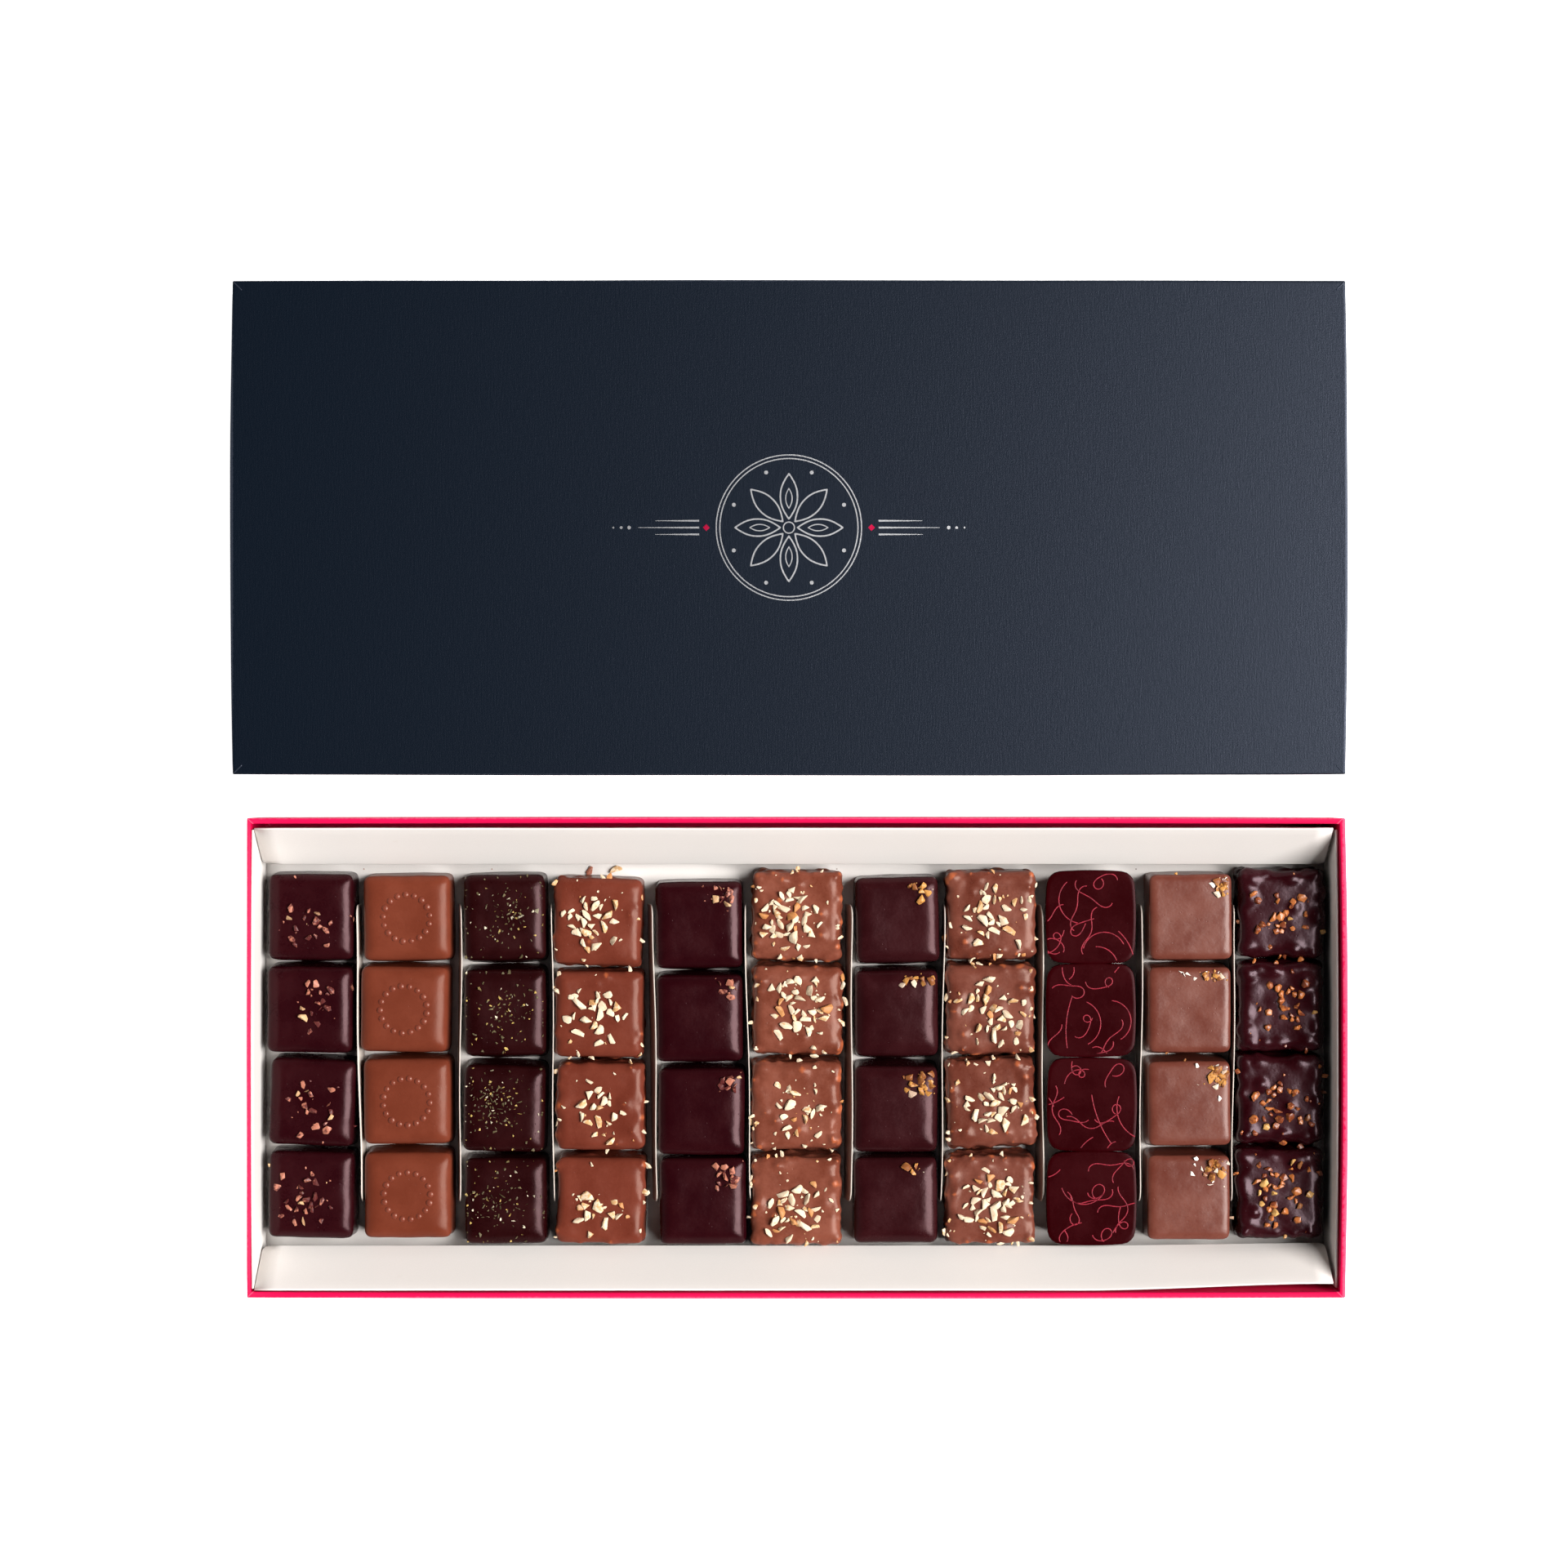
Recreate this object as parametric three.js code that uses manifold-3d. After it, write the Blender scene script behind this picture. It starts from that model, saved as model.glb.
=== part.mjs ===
// An open box of chocolate pralines with its lift-off lid lying beside it.
//
// The box is a shallow tray of covered board. A folded card liner stands inside it, with a sloping flap
// along each long side, and thin card strips part the pralines into eleven columns of four. Each praline
// is one solid: an enrobed square with the nuts, nibs or flakes that are stuck to its top. The lid is a
// second, slightly larger tray that lies open side down behind the box.
//
// Millimetres, +X along the box, +Y from the front of the box to the lid, +Z up. The origin is the middle
// of the underside of the open box.
import * as THREE from "three";
import { mergeVertices } from "three/addons/utils/BufferGeometryUtils.js";
import Module from "manifold-3d";

const wasm = await Module();
wasm.setup();

// The covered board of the box and its lid.
const BOARD = 2.0;
const BOX_LENGTH = 305;
const BOX_WIDTH = 133.5;
const BOX_HEIGHT = 28;
const LID_LENGTH = 310;
const LID_WIDTH = 137.5;
const LID_HEIGHT = 27;
const LID_SHIFT = -1.7; // the lid lies a little to the left of the box
const LID_GAP = 12.1; // bare table between the box and the lid
const TRAY_CORNER = 0.4; // radius of the upright corners as a share of the wall

// The folded card liner.
const CARD = 0.5;
const FIT = 0.3; // air between two pieces that rest on or in each other
const LINER_DROP = 2.3; // from the rim of the box down to the fold of the liner
const FLAP_RUN = 10;
const FLAP_FALL = 14.1;
const FLAP_END_GAP = 0.5;
const FLAP_CORNER = 2.5;

// The strips between the columns.
const STRIP_LENGTH = 84;
const STRIP_HEIGHT = 11.5;
const STRIP_CORNER = 4;
const STRIP_LEAN = 2.2; // the most that a strip leans to the right where its gap leaves room

// The pralines.
const PRALINE_HEIGHT = 13;
const RING_POINTS = 16;
const LOAF = 11; // exponent of the enrobed squares' outline
const BARREL = 4.4; // exponent of the printed ones' rounder outline
const SHOULDER = 1.9; // how far in from its sides the flat top of an enrobed square begins
const SHOULDER_SLOPE = 0.6;
const SINK = 0.36; // share of a topping's thickness that is sunk in the chocolate
const CLEAR_OF_EDGE = 1.6;

const BOX_INSIDE_X = BOX_LENGTH / 2 - BOARD;
const BOX_INSIDE_Y = BOX_WIDTH / 2 - BOARD;
const LINER_BASE = BOARD + FIT;
const SHELF = LINER_BASE + CARD + 0.2; // what the pralines and strips stand on
const LINER_HEIGHT = BOX_HEIGHT - LINER_DROP - LINER_BASE;

// Toppings: the longest and shortest piece of each kind, its width and thickness as shares of its length,
// and the share of the pieces that is modelled here (the largest ones).
const TOPPINGS = {
  nibs: { longest: 2.7, shortest: 1.0, wide: 0.62, thick: 0.55, solid: 0.45 },
  herbs: { longest: 1.5, shortest: 0.4, wide: 0.42, thick: 0.4, solid: 0.1 },
  nuts: { longest: 3.7, shortest: 0.8, wide: 0.62, thick: 0.5, solid: 0.32 },
  brittle: { longest: 2.8, shortest: 0.9, wide: 0.75, thick: 0.55, solid: 0.5 },
  caramel_nuts: { longest: 2.9, shortest: 0.9, wide: 0.75, thick: 0.62, solid: 0.37 },
};
const ROUNDER = 2.8; // pieces longer than this have twelve corners, the others six

// The eleven kinds from left to right. x and y are the middles of the four pralines from the back row to
// the front one, turn their turns in degrees, and size the length of their sides. A patch is how many
// pieces of topping lie on each of the four, the middle of the patch and its reach along x and y. strip is
// where the top edge of the card strip on the left of a column begins, at the back, and ends.
const COLUMNS = [
  {
    name: "nib_dark", topping: "nibs", color: 0x35141a, size: [23.9, 24.1],
    x: [-136.7, -137.0, -136.3, -136.6], y: [38.7, 12.5, -13.7, -39.8], turn: [0, -0.6, -2.4, -0.8],
    patches: [[15, -1, -3, 9, 7], [15, 3, 1, 7, 9], [17, 0, -2, 9, 9], [24, -1, -1, 9, 9]],
  },
  {
    name: "ring_milk", color: 0x80422c, size: [24.4, 24.0], strip: [-123.9, -122.3],
    x: [-109.5, -110.3, -109.5, -109.3], y: [38.4, 12.6, -13.4, -39.9], turn: [0.8, -0.8, 0.4, 0],
  },
  {
    name: "herb_dark", topping: "herbs", color: 0x2f1014, size: [22.9, 24.0], strip: [-94.2, -94.4],
    x: [-82.0, -81.9, -82.1, -81.7], y: [38.6, 11.7, -15.5, -41.6], turn: [0.8, 0.4, -1.2, 0.4],
    patches: [[46, 0, 0, 10, 10], [52, 1, 0, 10, 9], [90, -3, 1, 8, 8], [56, -2, -1, 9, 10]],
  },
  {
    name: "nut_milk", topping: "nuts", color: 0x7c4028, size: [24.4, 24.2], lumps: 0.25,
    x: [-55.6, -55.3, -54.9, -54.8], y: [37.4, 11.2, -14.9, -41.4], turn: [-1.8, -0.5, 0.5, -1],
    strip: [-68.8, -67.8],
    patches: [[26, -2, 0, 9, 9], [24, -1, 0, 9, 9], [18, 0, -1, 8, 10], [13, -2, -2, 9, 9]],
  },
  {
    name: "corner_nib_dark", topping: "nibs", color: 0x3a161c, size: [24.3, 24.3], strip: [-40.2, -38.7],
    x: [-27.1, -26.9, -26.4, -26.0], y: [36.5, 10.0, -16.4, -41.7], turn: [0.8, 0.4, -0.4, 0.4],
    patches: [[10, 7, 8, 4, 3], [6, 8, 9, 3, 3], [8, 8, 8.5, 3, 3], [14, 7, 7, 4, 3.5]],
  },
  {
    name: "crunch_milk", topping: "nuts", color: 0x85503b, size: [24.6, 24.4], lumps: 0.35,
    strip: [-14.1, -12.5], x: [0.5, 0.8, 0.4, 0.4], y: [39.0, 12.5, -14.5, -41.5], turn: [-0.5, -1, 0.8, 0],
    patches: [[38, -2, 0, 9, 9], [32, 1, 1, 10, 10], [16, 0, 0, 9, 9], [28, -1, -2, 9, 9]],
  },
  {
    name: "corner_brittle_dark", topping: "brittle", color: 0x3c181e, size: [23.4, 24.0],
    x: [28.9, 28.7, 28.5, 28.4], y: [37.9, 11.5, -15.6, -41.3], turn: [1.4, 0.4, -0.4, 0.4],
    strip: [16.3, 15.9],
    patches: [[6, 7, 8, 3.5, 3], [9, 6, 9, 5, 2], [14, 7, 7.5, 4.5, 3.5], [3, 5, 9.5, 3, 1.5]],
  },
  {
    name: "crunch_nut_milk", topping: "nuts", color: 0x7d4632, size: [24.3, 24.2], lumps: 0.35,
    strip: [42.4, 41.2], x: [55.4, 55.2, 55.3, 55.1], y: [39.2, 12.6, -13.7, -41.2], turn: [0.5, -0.5, 2.4, 0.5],
    patches: [[26, 1, 0, 10, 10], [30, 1, -1, 9, 10], [28, 1, -1, 9, 9], [40, 0, -1, 9, 10]],
  },
  {
    name: "printed_dark", color: 0x33090f, size: [25.4, 25.3], barrel: true, strip: [69.9, 70.2],
    x: [83.4, 83.4, 83.7, 83.6], y: [38.7, 12.4, -14.2, -40.6], turn: [0, 0.5, -0.5, 0],
  },
  {
    name: "corner_flake_milk", topping: "brittle", color: 0x8a5244, size: [23.2, 24.0], strip: [98.0, 97.5],
    x: [111.6, 111.4, 111.3, 111.1], y: [38.7, 12.5, -13.9, -40.5], turn: [0.5, 0, 0.5, 0],
    patches: [[9, 9, 8.5, 2, 3], [5, 7, 9.5, 4, 1.5], [16, 8, 8, 3, 3.5], [10, 7.5, 8.5, 3, 3]],
  },
  {
    name: "caramel_dark", topping: "caramel_nuts", color: 0x2d1218, size: [23.3, 23.9], lumps: 0.45,
    strip: [124.1, 123.4], x: [137.4, 137.1, 137.0, 136.9], y: [39.8, 13.4, -12.7, -39.3], turn: [-0.8, 0.4, -0.4, 0.8],
    patches: [[20, -1, 0, 9, 8], [20, 1, 0, 9, 9], [26, 0, -3, 9, 8], [34, 1, 0, 9, 10]],
  },
];

// Seeded dice, from 0 to 1.
function dice(seed) {
  let state = seed;
  return () => {
    state = (state * 16807) % 2147483647;
    return state / 2147483647;
  };
}

// A closed mesh as a solid that can be joined and cut.
function solid(geometry) {
  const bare = geometry.index ? geometry.toNonIndexed() : geometry.clone();
  bare.deleteAttribute("normal");
  bare.deleteAttribute("uv");
  const merged = mergeVertices(bare, 1e-4);
  return new wasm.Manifold(
    new wasm.Mesh({
      numProp: 3,
      vertProperties: merged.attributes.position.array,
      triVerts: new Uint32Array(merged.index.array),
    }),
  );
}

function geometryOf(made) {
  const mesh = made.getMesh();
  const geometry = new THREE.BufferGeometry();
  geometry.setAttribute("position", new THREE.BufferAttribute(mesh.vertProperties, 3));
  geometry.setIndex(new THREE.BufferAttribute(mesh.triVerts, 1));
  geometry.computeVertexNormals();
  return geometry;
}

function material(color, roughness) {
  return new THREE.MeshStandardMaterial({ color, roughness, metalness: 0 });
}

function roundedRectangle(halfX, halfY, corner) {
  const shape = new THREE.Shape();
  shape.moveTo(halfX, corner - halfY);
  shape.lineTo(halfX, halfY - corner);
  shape.absarc(halfX - corner, halfY - corner, corner, 0, Math.PI / 2);
  shape.lineTo(corner - halfX, halfY);
  shape.absarc(corner - halfX, halfY - corner, corner, Math.PI / 2, Math.PI);
  shape.lineTo(-halfX, corner - halfY);
  shape.absarc(corner - halfX, corner - halfY, corner, Math.PI, 1.5 * Math.PI);
  shape.lineTo(halfX - corner, -halfY);
  shape.absarc(halfX - corner, corner - halfY, corner, 1.5 * Math.PI, 2 * Math.PI);
  return shape;
}

// An open tray, standing on z = 0 with its open side up.
function tray(length, width, height, wall) {
  const outline = roundedRectangle(length / 2, width / 2, TRAY_CORNER * wall);
  const outside = new THREE.ExtrudeGeometry(outline, { depth: height, bevelEnabled: false, curveSegments: 1 });
  const inside = new THREE.BoxGeometry(length - 2 * wall, width - 2 * wall, height);
  inside.translate(0, 0, height / 2 + wall);
  return solid(outside).subtract(solid(inside));
}

// The liner: a tray of thin card whose two long walls fold back down as sloping flaps.
function liner() {
  const halfX = BOX_INSIDE_X - FIT;
  const halfY = BOX_INSIDE_Y - FIT;
  return tray(2 * halfX, 2 * halfY, LINER_HEIGHT, CARD)
    .add(solid(flap(-1, halfX, halfY)))
    .add(solid(flap(1, halfX, halfY)));
}

// One sloping flap, hung from the top of its long wall, with its two lower corners rounded.
function flap(side, halfX, halfY) {
  const halfLength = halfX - CARD - FLAP_END_GAP;
  const slant = Math.hypot(FLAP_RUN, FLAP_FALL);
  const shape = new THREE.Shape();
  shape.moveTo(-halfLength, 0);
  shape.lineTo(-halfLength, FLAP_CORNER - slant);
  shape.absarc(FLAP_CORNER - halfLength, FLAP_CORNER - slant, FLAP_CORNER, Math.PI, 1.5 * Math.PI);
  shape.lineTo(halfLength - FLAP_CORNER, -slant);
  shape.absarc(halfLength - FLAP_CORNER, FLAP_CORNER - slant, FLAP_CORNER, 1.5 * Math.PI, 2 * Math.PI);
  shape.lineTo(halfLength, 0);
  const plate = new THREE.ExtrudeGeometry(shape, { depth: CARD, bevelEnabled: false, curveSegments: 2 });
  plate.rotateX(Math.PI / 2 + Math.atan2(FLAP_RUN, FLAP_FALL));
  plate.translate(0, 0.9 * CARD - halfY, LINER_HEIGHT - 0.1 * CARD);
  if (side > 0) plate.rotateZ(Math.PI);
  return plate;
}

// The outline of a praline at one height: a superellipse, which has the points gathered at its corners.
function ring(halfX, halfY, exponent, z) {
  const points = [];
  for (let k = 0; k < RING_POINTS; k++) {
    const angle = (2 * Math.PI * k) / RING_POINTS;
    const [c, s] = [Math.cos(angle), Math.sin(angle)];
    const x = halfX * Math.sign(c) * Math.abs(c) ** (2 / exponent);
    const y = halfY * Math.sign(s) * Math.abs(s) ** (2 / exponent);
    points.push([Math.abs(c) < 1e-9 ? 0 : x, Math.abs(s) < 1e-9 ? 0 : y, z]);
  }
  return points;
}

// Rings from the bottom up, skinned to a closed body with flat ends.
function skin(rings) {
  const positions = rings.flat(2);
  const faces = [];
  const last = (rings.length - 1) * RING_POINTS;
  for (let k = 0; k < RING_POINTS; k++) {
    const next = (k + 1) % RING_POINTS;
    for (let base = 0; base < last; base += RING_POINTS) {
      faces.push(base + k, base + next, base + RING_POINTS + next);
      faces.push(base + k, base + RING_POINTS + next, base + RING_POINTS + k);
    }
    if (k > 1) {
      faces.push(0, k, k - 1);
      faces.push(last, last + k - 1, last + k);
    }
  }
  const geometry = new THREE.BufferGeometry();
  geometry.setAttribute("position", new THREE.Float32BufferAttribute(positions, 3));
  geometry.setIndex(faces);
  return geometry;
}

// The chocolate body, standing on z = 0. The heights and insets are those of its foot, side and shoulder.
function body(column, size, height, roll) {
  const halfX = size[0] / 2;
  const halfY = size[1] / 2;
  const levels = column.barrel
    ? [[0, 1.1], [height - 2.4, 0.9], [height - 1.4, 0], [height, 0.15]]
    : [[0, 0], [height - 1.9, 0.25], [height - 0.6, 0.8], [height, SHOULDER]];
  const exponent = column.barrel ? BARREL : LOAF;
  const rings = levels.map(([z, inset]) => ring(halfX - inset, halfY - inset, exponent, z));
  const lumps = column.lumps ?? 0;
  for (const point of [...rings[1], ...rings[2]]) {
    const swell = 1 - (lumps * roll()) / halfX;
    point[0] *= swell;
    point[1] *= swell;
  }
  for (const point of rings[3]) point[2] -= lumps * roll();
  return skin(rings);
}

// Where the pieces of topping lie on a praline, the largest first.
function scatter(kind, patch, size, roll) {
  const [count, middleX, middleY, reachX, reachY] = patch;
  const pieces = [];
  for (let k = 0; k < count; k++) {
    const share = k / count;
    const long = (kind.longest + (kind.shortest - kind.longest) * share ** 0.7) * (0.85 + 0.3 * roll());
    let x = 0;
    let y = 0;
    for (let tries = 0; tries < 14; tries++) {
      x = middleX + reachX * (roll() + roll() - 1);
      y = middleY + reachY * (roll() + roll() - 1);
      const inside = Math.abs(x) < size[0] / 2 - CLEAR_OF_EDGE && Math.abs(y) < size[1] / 2 - CLEAR_OF_EDGE;
      const room = pieces.every((p) => Math.hypot(p.x - x, p.y - y) > 0.42 * (p.long + long));
      if (inside && room) break;
    }
    x = THREE.MathUtils.clamp(x, CLEAR_OF_EDGE - size[0] / 2, size[0] / 2 - CLEAR_OF_EDGE);
    y = THREE.MathUtils.clamp(y, CLEAR_OF_EDGE - size[1] / 2, size[1] / 2 - CLEAR_OF_EDGE);
    const wide = long * kind.wide * (0.8 + 0.4 * roll());
    const thick = long * kind.thick * (0.8 + 0.4 * roll());
    pieces.push({ x, y, long, wide, thick, turn: 2 * Math.PI * roll(), tilt: 0.5 * (roll() - 0.5) });
  }
  return pieces;
}

// The height of an enrobed square's top at a point, with the slope down to its sides.
function topAt(x, y, size, height) {
  const out = ((2 * Math.abs(x)) / size[0]) ** LOAF + ((2 * Math.abs(y)) / size[1]) ** LOAF;
  const inset = ((1 - out ** (1 / LOAF)) * size[0]) / 2;
  return height - SHOULDER_SLOPE * Math.max(0, SHOULDER - inset);
}

// One chopped piece: a lump of few facets with its corners pushed about.
function chip(piece, surface, roll) {
  const round = piece.long > ROUNDER ? new THREE.IcosahedronGeometry(0.5) : new THREE.OctahedronGeometry(0.5);
  round.deleteAttribute("normal");
  round.deleteAttribute("uv");
  const lump = mergeVertices(round, 1e-4);
  const place = lump.attributes.position;
  for (let k = 0; k < place.count; k++) {
    const push = 0.85 + 0.35 * roll();
    place.setXYZ(k, place.getX(k) * push, place.getY(k) * push, place.getZ(k) * push);
  }
  lump.scale(piece.long, piece.wide, piece.thick);
  lump.rotateY(piece.tilt);
  lump.rotateZ(piece.turn);
  lump.translate(piece.x, piece.y, surface + piece.thick * (0.5 - SINK));
  return lump;
}

function praline(column, columnNumber, row) {
  const roll = dice(1000 * (columnNumber + 1) + 37 * (row + 1));
  const size = column.size.map((side) => side - 0.4 * roll());
  const height = PRALINE_HEIGHT - 0.5 * roll();
  const kind = TOPPINGS[column.topping];
  const pieces = kind ? scatter(kind, column.patches[row], size, roll) : [];
  const shown = kind ? Math.ceil(kind.solid * pieces.length) : 0;
  const crown = height - (column.lumps ?? 0) / 2;
  let made = solid(body(column, size, height, roll));
  for (const piece of pieces.slice(0, shown)) {
    made = made.add(solid(chip(piece, topAt(piece.x, piece.y, size, crown), roll)));
  }
  const mesh = new THREE.Mesh(geometryOf(made), material(column.color, 0.35));
  mesh.name = column.name + "_" + (row + 1);
  mesh.position.set(column.x[row], column.y[row], SHELF);
  mesh.rotation.z = THREE.MathUtils.degToRad(column.turn[row]);
  return mesh;
}

// A strip of card on edge, with its top edge along the given line. It leans to the right as far as the
// column on its left leaves room for its foot.
function strip(left, [back, front]) {
  const rooms = left.map((mesh) => {
    const share = 0.5 - mesh.position.y / STRIP_LENGTH;
    const side = new THREE.Box3().setFromObject(mesh, true).max.x;
    return THREE.MathUtils.lerp(back, front, share) - CARD / 2 - FIT - side;
  });
  const lean = THREE.MathUtils.clamp(Math.min(...rooms), 0, STRIP_LEAN);
  const shape = new THREE.Shape();
  shape.moveTo(-STRIP_LENGTH / 2, 0);
  shape.lineTo(STRIP_LENGTH / 2, 0);
  shape.lineTo(STRIP_LENGTH / 2, STRIP_HEIGHT - STRIP_CORNER);
  const middle = STRIP_LENGTH / 2 - STRIP_CORNER;
  shape.absarc(middle, STRIP_HEIGHT - STRIP_CORNER, STRIP_CORNER, 0, Math.PI / 2);
  shape.absarc(-middle, STRIP_HEIGHT - STRIP_CORNER, STRIP_CORNER, Math.PI / 2, Math.PI);
  const geometry = new THREE.ExtrudeGeometry(shape, { depth: CARD, bevelEnabled: false, curveSegments: 3 });
  geometry.rotateX(Math.PI / 2);
  geometry.rotateZ(Math.PI / 2);
  const slant = (back - front) / STRIP_LENGTH;
  geometry.applyMatrix4(new THREE.Matrix4().makeShear(0, 0, slant, 0, lean / STRIP_HEIGHT, 0));
  geometry.translate((back + front) / 2 - CARD / 2 - lean, 0, SHELF);
  return geometry;
}

const group = new THREE.Group();

const boxWalls = geometryOf(tray(BOX_LENGTH, BOX_WIDTH, BOX_HEIGHT, BOARD));
const box = new THREE.Mesh(boxWalls, material(0xe0063c, 0.6));
box.name = "box_tray";
group.add(box);

const lidWalls = geometryOf(tray(LID_LENGTH, LID_WIDTH, LID_HEIGHT, BOARD));
const lid = new THREE.Mesh(lidWalls, material(0x1c2533, 0.55));
lid.name = "lid";
lid.rotation.x = Math.PI;
lid.position.set(LID_SHIFT, BOX_WIDTH / 2 + LID_GAP + LID_WIDTH / 2, LID_HEIGHT);
group.add(lid);

const lining = new THREE.Mesh(geometryOf(liner()), material(0xf1e7e0, 0.8));
lining.name = "liner";
lining.position.z = LINER_BASE;
group.add(lining);

let left = [];
COLUMNS.forEach((column, number) => {
  const four = column.x.map((_, row) => praline(column, number, row));
  group.add(...four);
  if (column.strip) {
    const divider = new THREE.Mesh(strip(left, column.strip), material(0xf1e7e0, 0.8));
    divider.name = "strip_" + number;
    group.add(divider);
  }
  left = four;
});

export default group;
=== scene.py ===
import math
import random

import bmesh
import bpy
from mathutils import Matrix, Vector, kdtree, noise
from mathutils.bvhtree import BVHTree


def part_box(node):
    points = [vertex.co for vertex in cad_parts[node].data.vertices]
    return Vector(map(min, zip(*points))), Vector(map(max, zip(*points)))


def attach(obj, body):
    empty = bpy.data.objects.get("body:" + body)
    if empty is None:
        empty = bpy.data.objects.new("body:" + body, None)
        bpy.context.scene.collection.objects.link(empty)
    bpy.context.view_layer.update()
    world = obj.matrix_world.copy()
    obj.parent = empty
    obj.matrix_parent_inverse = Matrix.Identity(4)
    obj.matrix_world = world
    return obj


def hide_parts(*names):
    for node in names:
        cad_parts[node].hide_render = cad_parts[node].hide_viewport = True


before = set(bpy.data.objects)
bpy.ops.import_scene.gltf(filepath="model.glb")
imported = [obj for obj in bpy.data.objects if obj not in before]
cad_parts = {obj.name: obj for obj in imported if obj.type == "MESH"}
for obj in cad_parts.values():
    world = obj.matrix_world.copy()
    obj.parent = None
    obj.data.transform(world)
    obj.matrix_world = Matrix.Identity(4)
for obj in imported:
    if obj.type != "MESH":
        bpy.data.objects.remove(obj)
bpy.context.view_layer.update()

# The open box: a shallow tray of grey board, wrapped in raspberry red paper that is turned in over the rim
# and glued down, with a mitre at each corner of the rim. Its right end has bowed out, and its left end is
# pressed thin.
MM = 0.001  # sizes below are in millimetres
SHARP_FOLD = 50  # degrees from which a fold of the cover stays sharp
SLACK = 0.1  # tolerance when points are told apart by their place
BOARD = 1.6
PAPER_EDGE = 0.35  # radius that the paper gives to the board's edges
EDGE_LOOP = 0.8  # a loop this far from each edge keeps the flat sides flat up to the rounding
RIM_FALL = 0.3  # the wall leans out a little, so the inner edge of its rim lies lower
LEFT_WALL = 0.65  # the thickness of the box's left wall, as a share of the others'
WALL_CUTS = (24, 12)  # along a long and a short wall
UNEVEN = 0.12  # how far off true the walls are, in waves of these two lengths
SHORT_WAVE, LONG_WAVE = 45, 60
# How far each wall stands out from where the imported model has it, and how far it bows out in its middle:
BOX_BOWS = {"left": (0, 0.1), "right": (0.6, 0.8), "front": (0, 0.3), "back": (0, -0.2)}
LID_BOWS = {"left": (0, 0.7), "right": (0, 0.7), "front": (0, 0.25), "back": (0, 0.25)}
THREADS = (260.0, 2300.0)  # how fine the linen press is along and across its threads, for each metre
GRAIN_SHADE = 0.22  # how much darker or lighter the grain makes the paper
EDGE_PALING, MITRE_PALING = 0.55, 0.5  # how much of the paler edge colour shows along the edges and on the mitres


def node(tree, kind, inputs=None, **settings):
    """One shader node, with its inputs set or linked."""
    made = tree.nodes.new(kind)
    for key, value in settings.items():
        setattr(made, key, value)
    for key, value in (inputs or {}).items():
        if isinstance(value, bpy.types.NodeSocket):
            tree.links.new(value, made.inputs[key])
        else:
            made.inputs[key].default_value = value
    return made


def math_node(tree, operation, first, second=0.0, third=0.0):
    return node(tree, "ShaderNodeMath", {0: first, 1: second, 2: third}, operation=operation).outputs[0]


def vector_node(tree, operation, first, second=(0, 0, 0)):
    return node(tree, "ShaderNodeVectorMath", {0: first, 1: second}, operation=operation).outputs[0]


def mix_colour(tree, factor, first, second):
    inputs = {"Factor": factor, 6: first, 7: second}
    return node(tree, "ShaderNodeMix", inputs, data_type="RGBA").outputs[2]


def smooth_step(tree, value, zero, one):
    """A smooth step from the value where it is zero to the one where it is one, up or down."""
    inputs = {"Value": value, "From Min": zero, "From Max": one}
    return node(tree, "ShaderNodeMapRange", inputs, interpolation_type="SMOOTHSTEP").outputs["Result"]


def noise_node(tree, place, scale, detail=2.0, roughness=0.5):
    inputs = {"Vector": place, "Scale": scale, "Detail": detail, "Roughness": roughness}
    return node(tree, "ShaderNodeTexNoise", inputs).outputs["Fac"]


def effect(name, taken, given):
    """A node group with named inputs and outputs. Returns it with its input and output nodes."""
    group = bpy.data.node_groups.new(name, "ShaderNodeTree")
    for label, kind, value in taken:
        socket = group.interface.new_socket(label, in_out="INPUT", socket_type="NodeSocket" + kind)
        socket.default_value = value
    for label, kind in given:
        group.interface.new_socket(label, in_out="OUTPUT", socket_type="NodeSocket" + kind)
    return group, node(group, "NodeGroupInput").outputs, node(group, "NodeGroupOutput").inputs


def use(tree, group, **inputs):
    """An effect placed in a material, with its own values."""
    values = {key.replace("_", " "): value for key, value in inputs.items()}
    return node(tree, "ShaderNodeGroup", values, node_tree=group).outputs


def srgb(*values):
    """A colour from its red, green and blue from 0 to 255, as the shaders want it."""
    shares = [value / 255 for value in values]
    return (*(s / 12.92 if s < 0.0405 else ((s + 0.055) / 1.055) ** 2.4 for s in shares), 1.0)


def finish_for(name, roughness, specular=0.5, **constants):
    """A material. Returns it, its node tree, its Principled shader and its Object coordinates."""
    made = bpy.data.materials.new(name)
    made.use_nodes = True
    tree = made.node_tree
    shader = tree.nodes["Principled BSDF"]
    shader.inputs["Roughness"].default_value = roughness
    shader.inputs["Specular IOR Level"].default_value = specular
    for key, value in constants.items():
        shader.inputs[key.replace("_", " ")].default_value = value
    place = node(tree, "ShaderNodeTexCoord").outputs["Object"]
    return made, tree, shader, place


def connect(tree, shader, colour=None, roughness=None, height=None, bump=0.1, metallic=None):
    """Links an effect's outputs to the shader. bump is the height in millimetres of a full step."""
    if colour is not None:
        tree.links.new(colour, shader.inputs["Base Color"])
    if roughness is not None:
        tree.links.new(roughness, shader.inputs["Roughness"])
    if metallic is not None:
        tree.links.new(metallic, shader.inputs["Metallic"])
    if height is not None:
        inputs = {"Height": height, "Distance": bump * MM, "Strength": 1.0}
        tree.links.new(node(tree, "ShaderNodeBump", inputs).outputs["Normal"], shader.inputs["Normal"])


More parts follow.
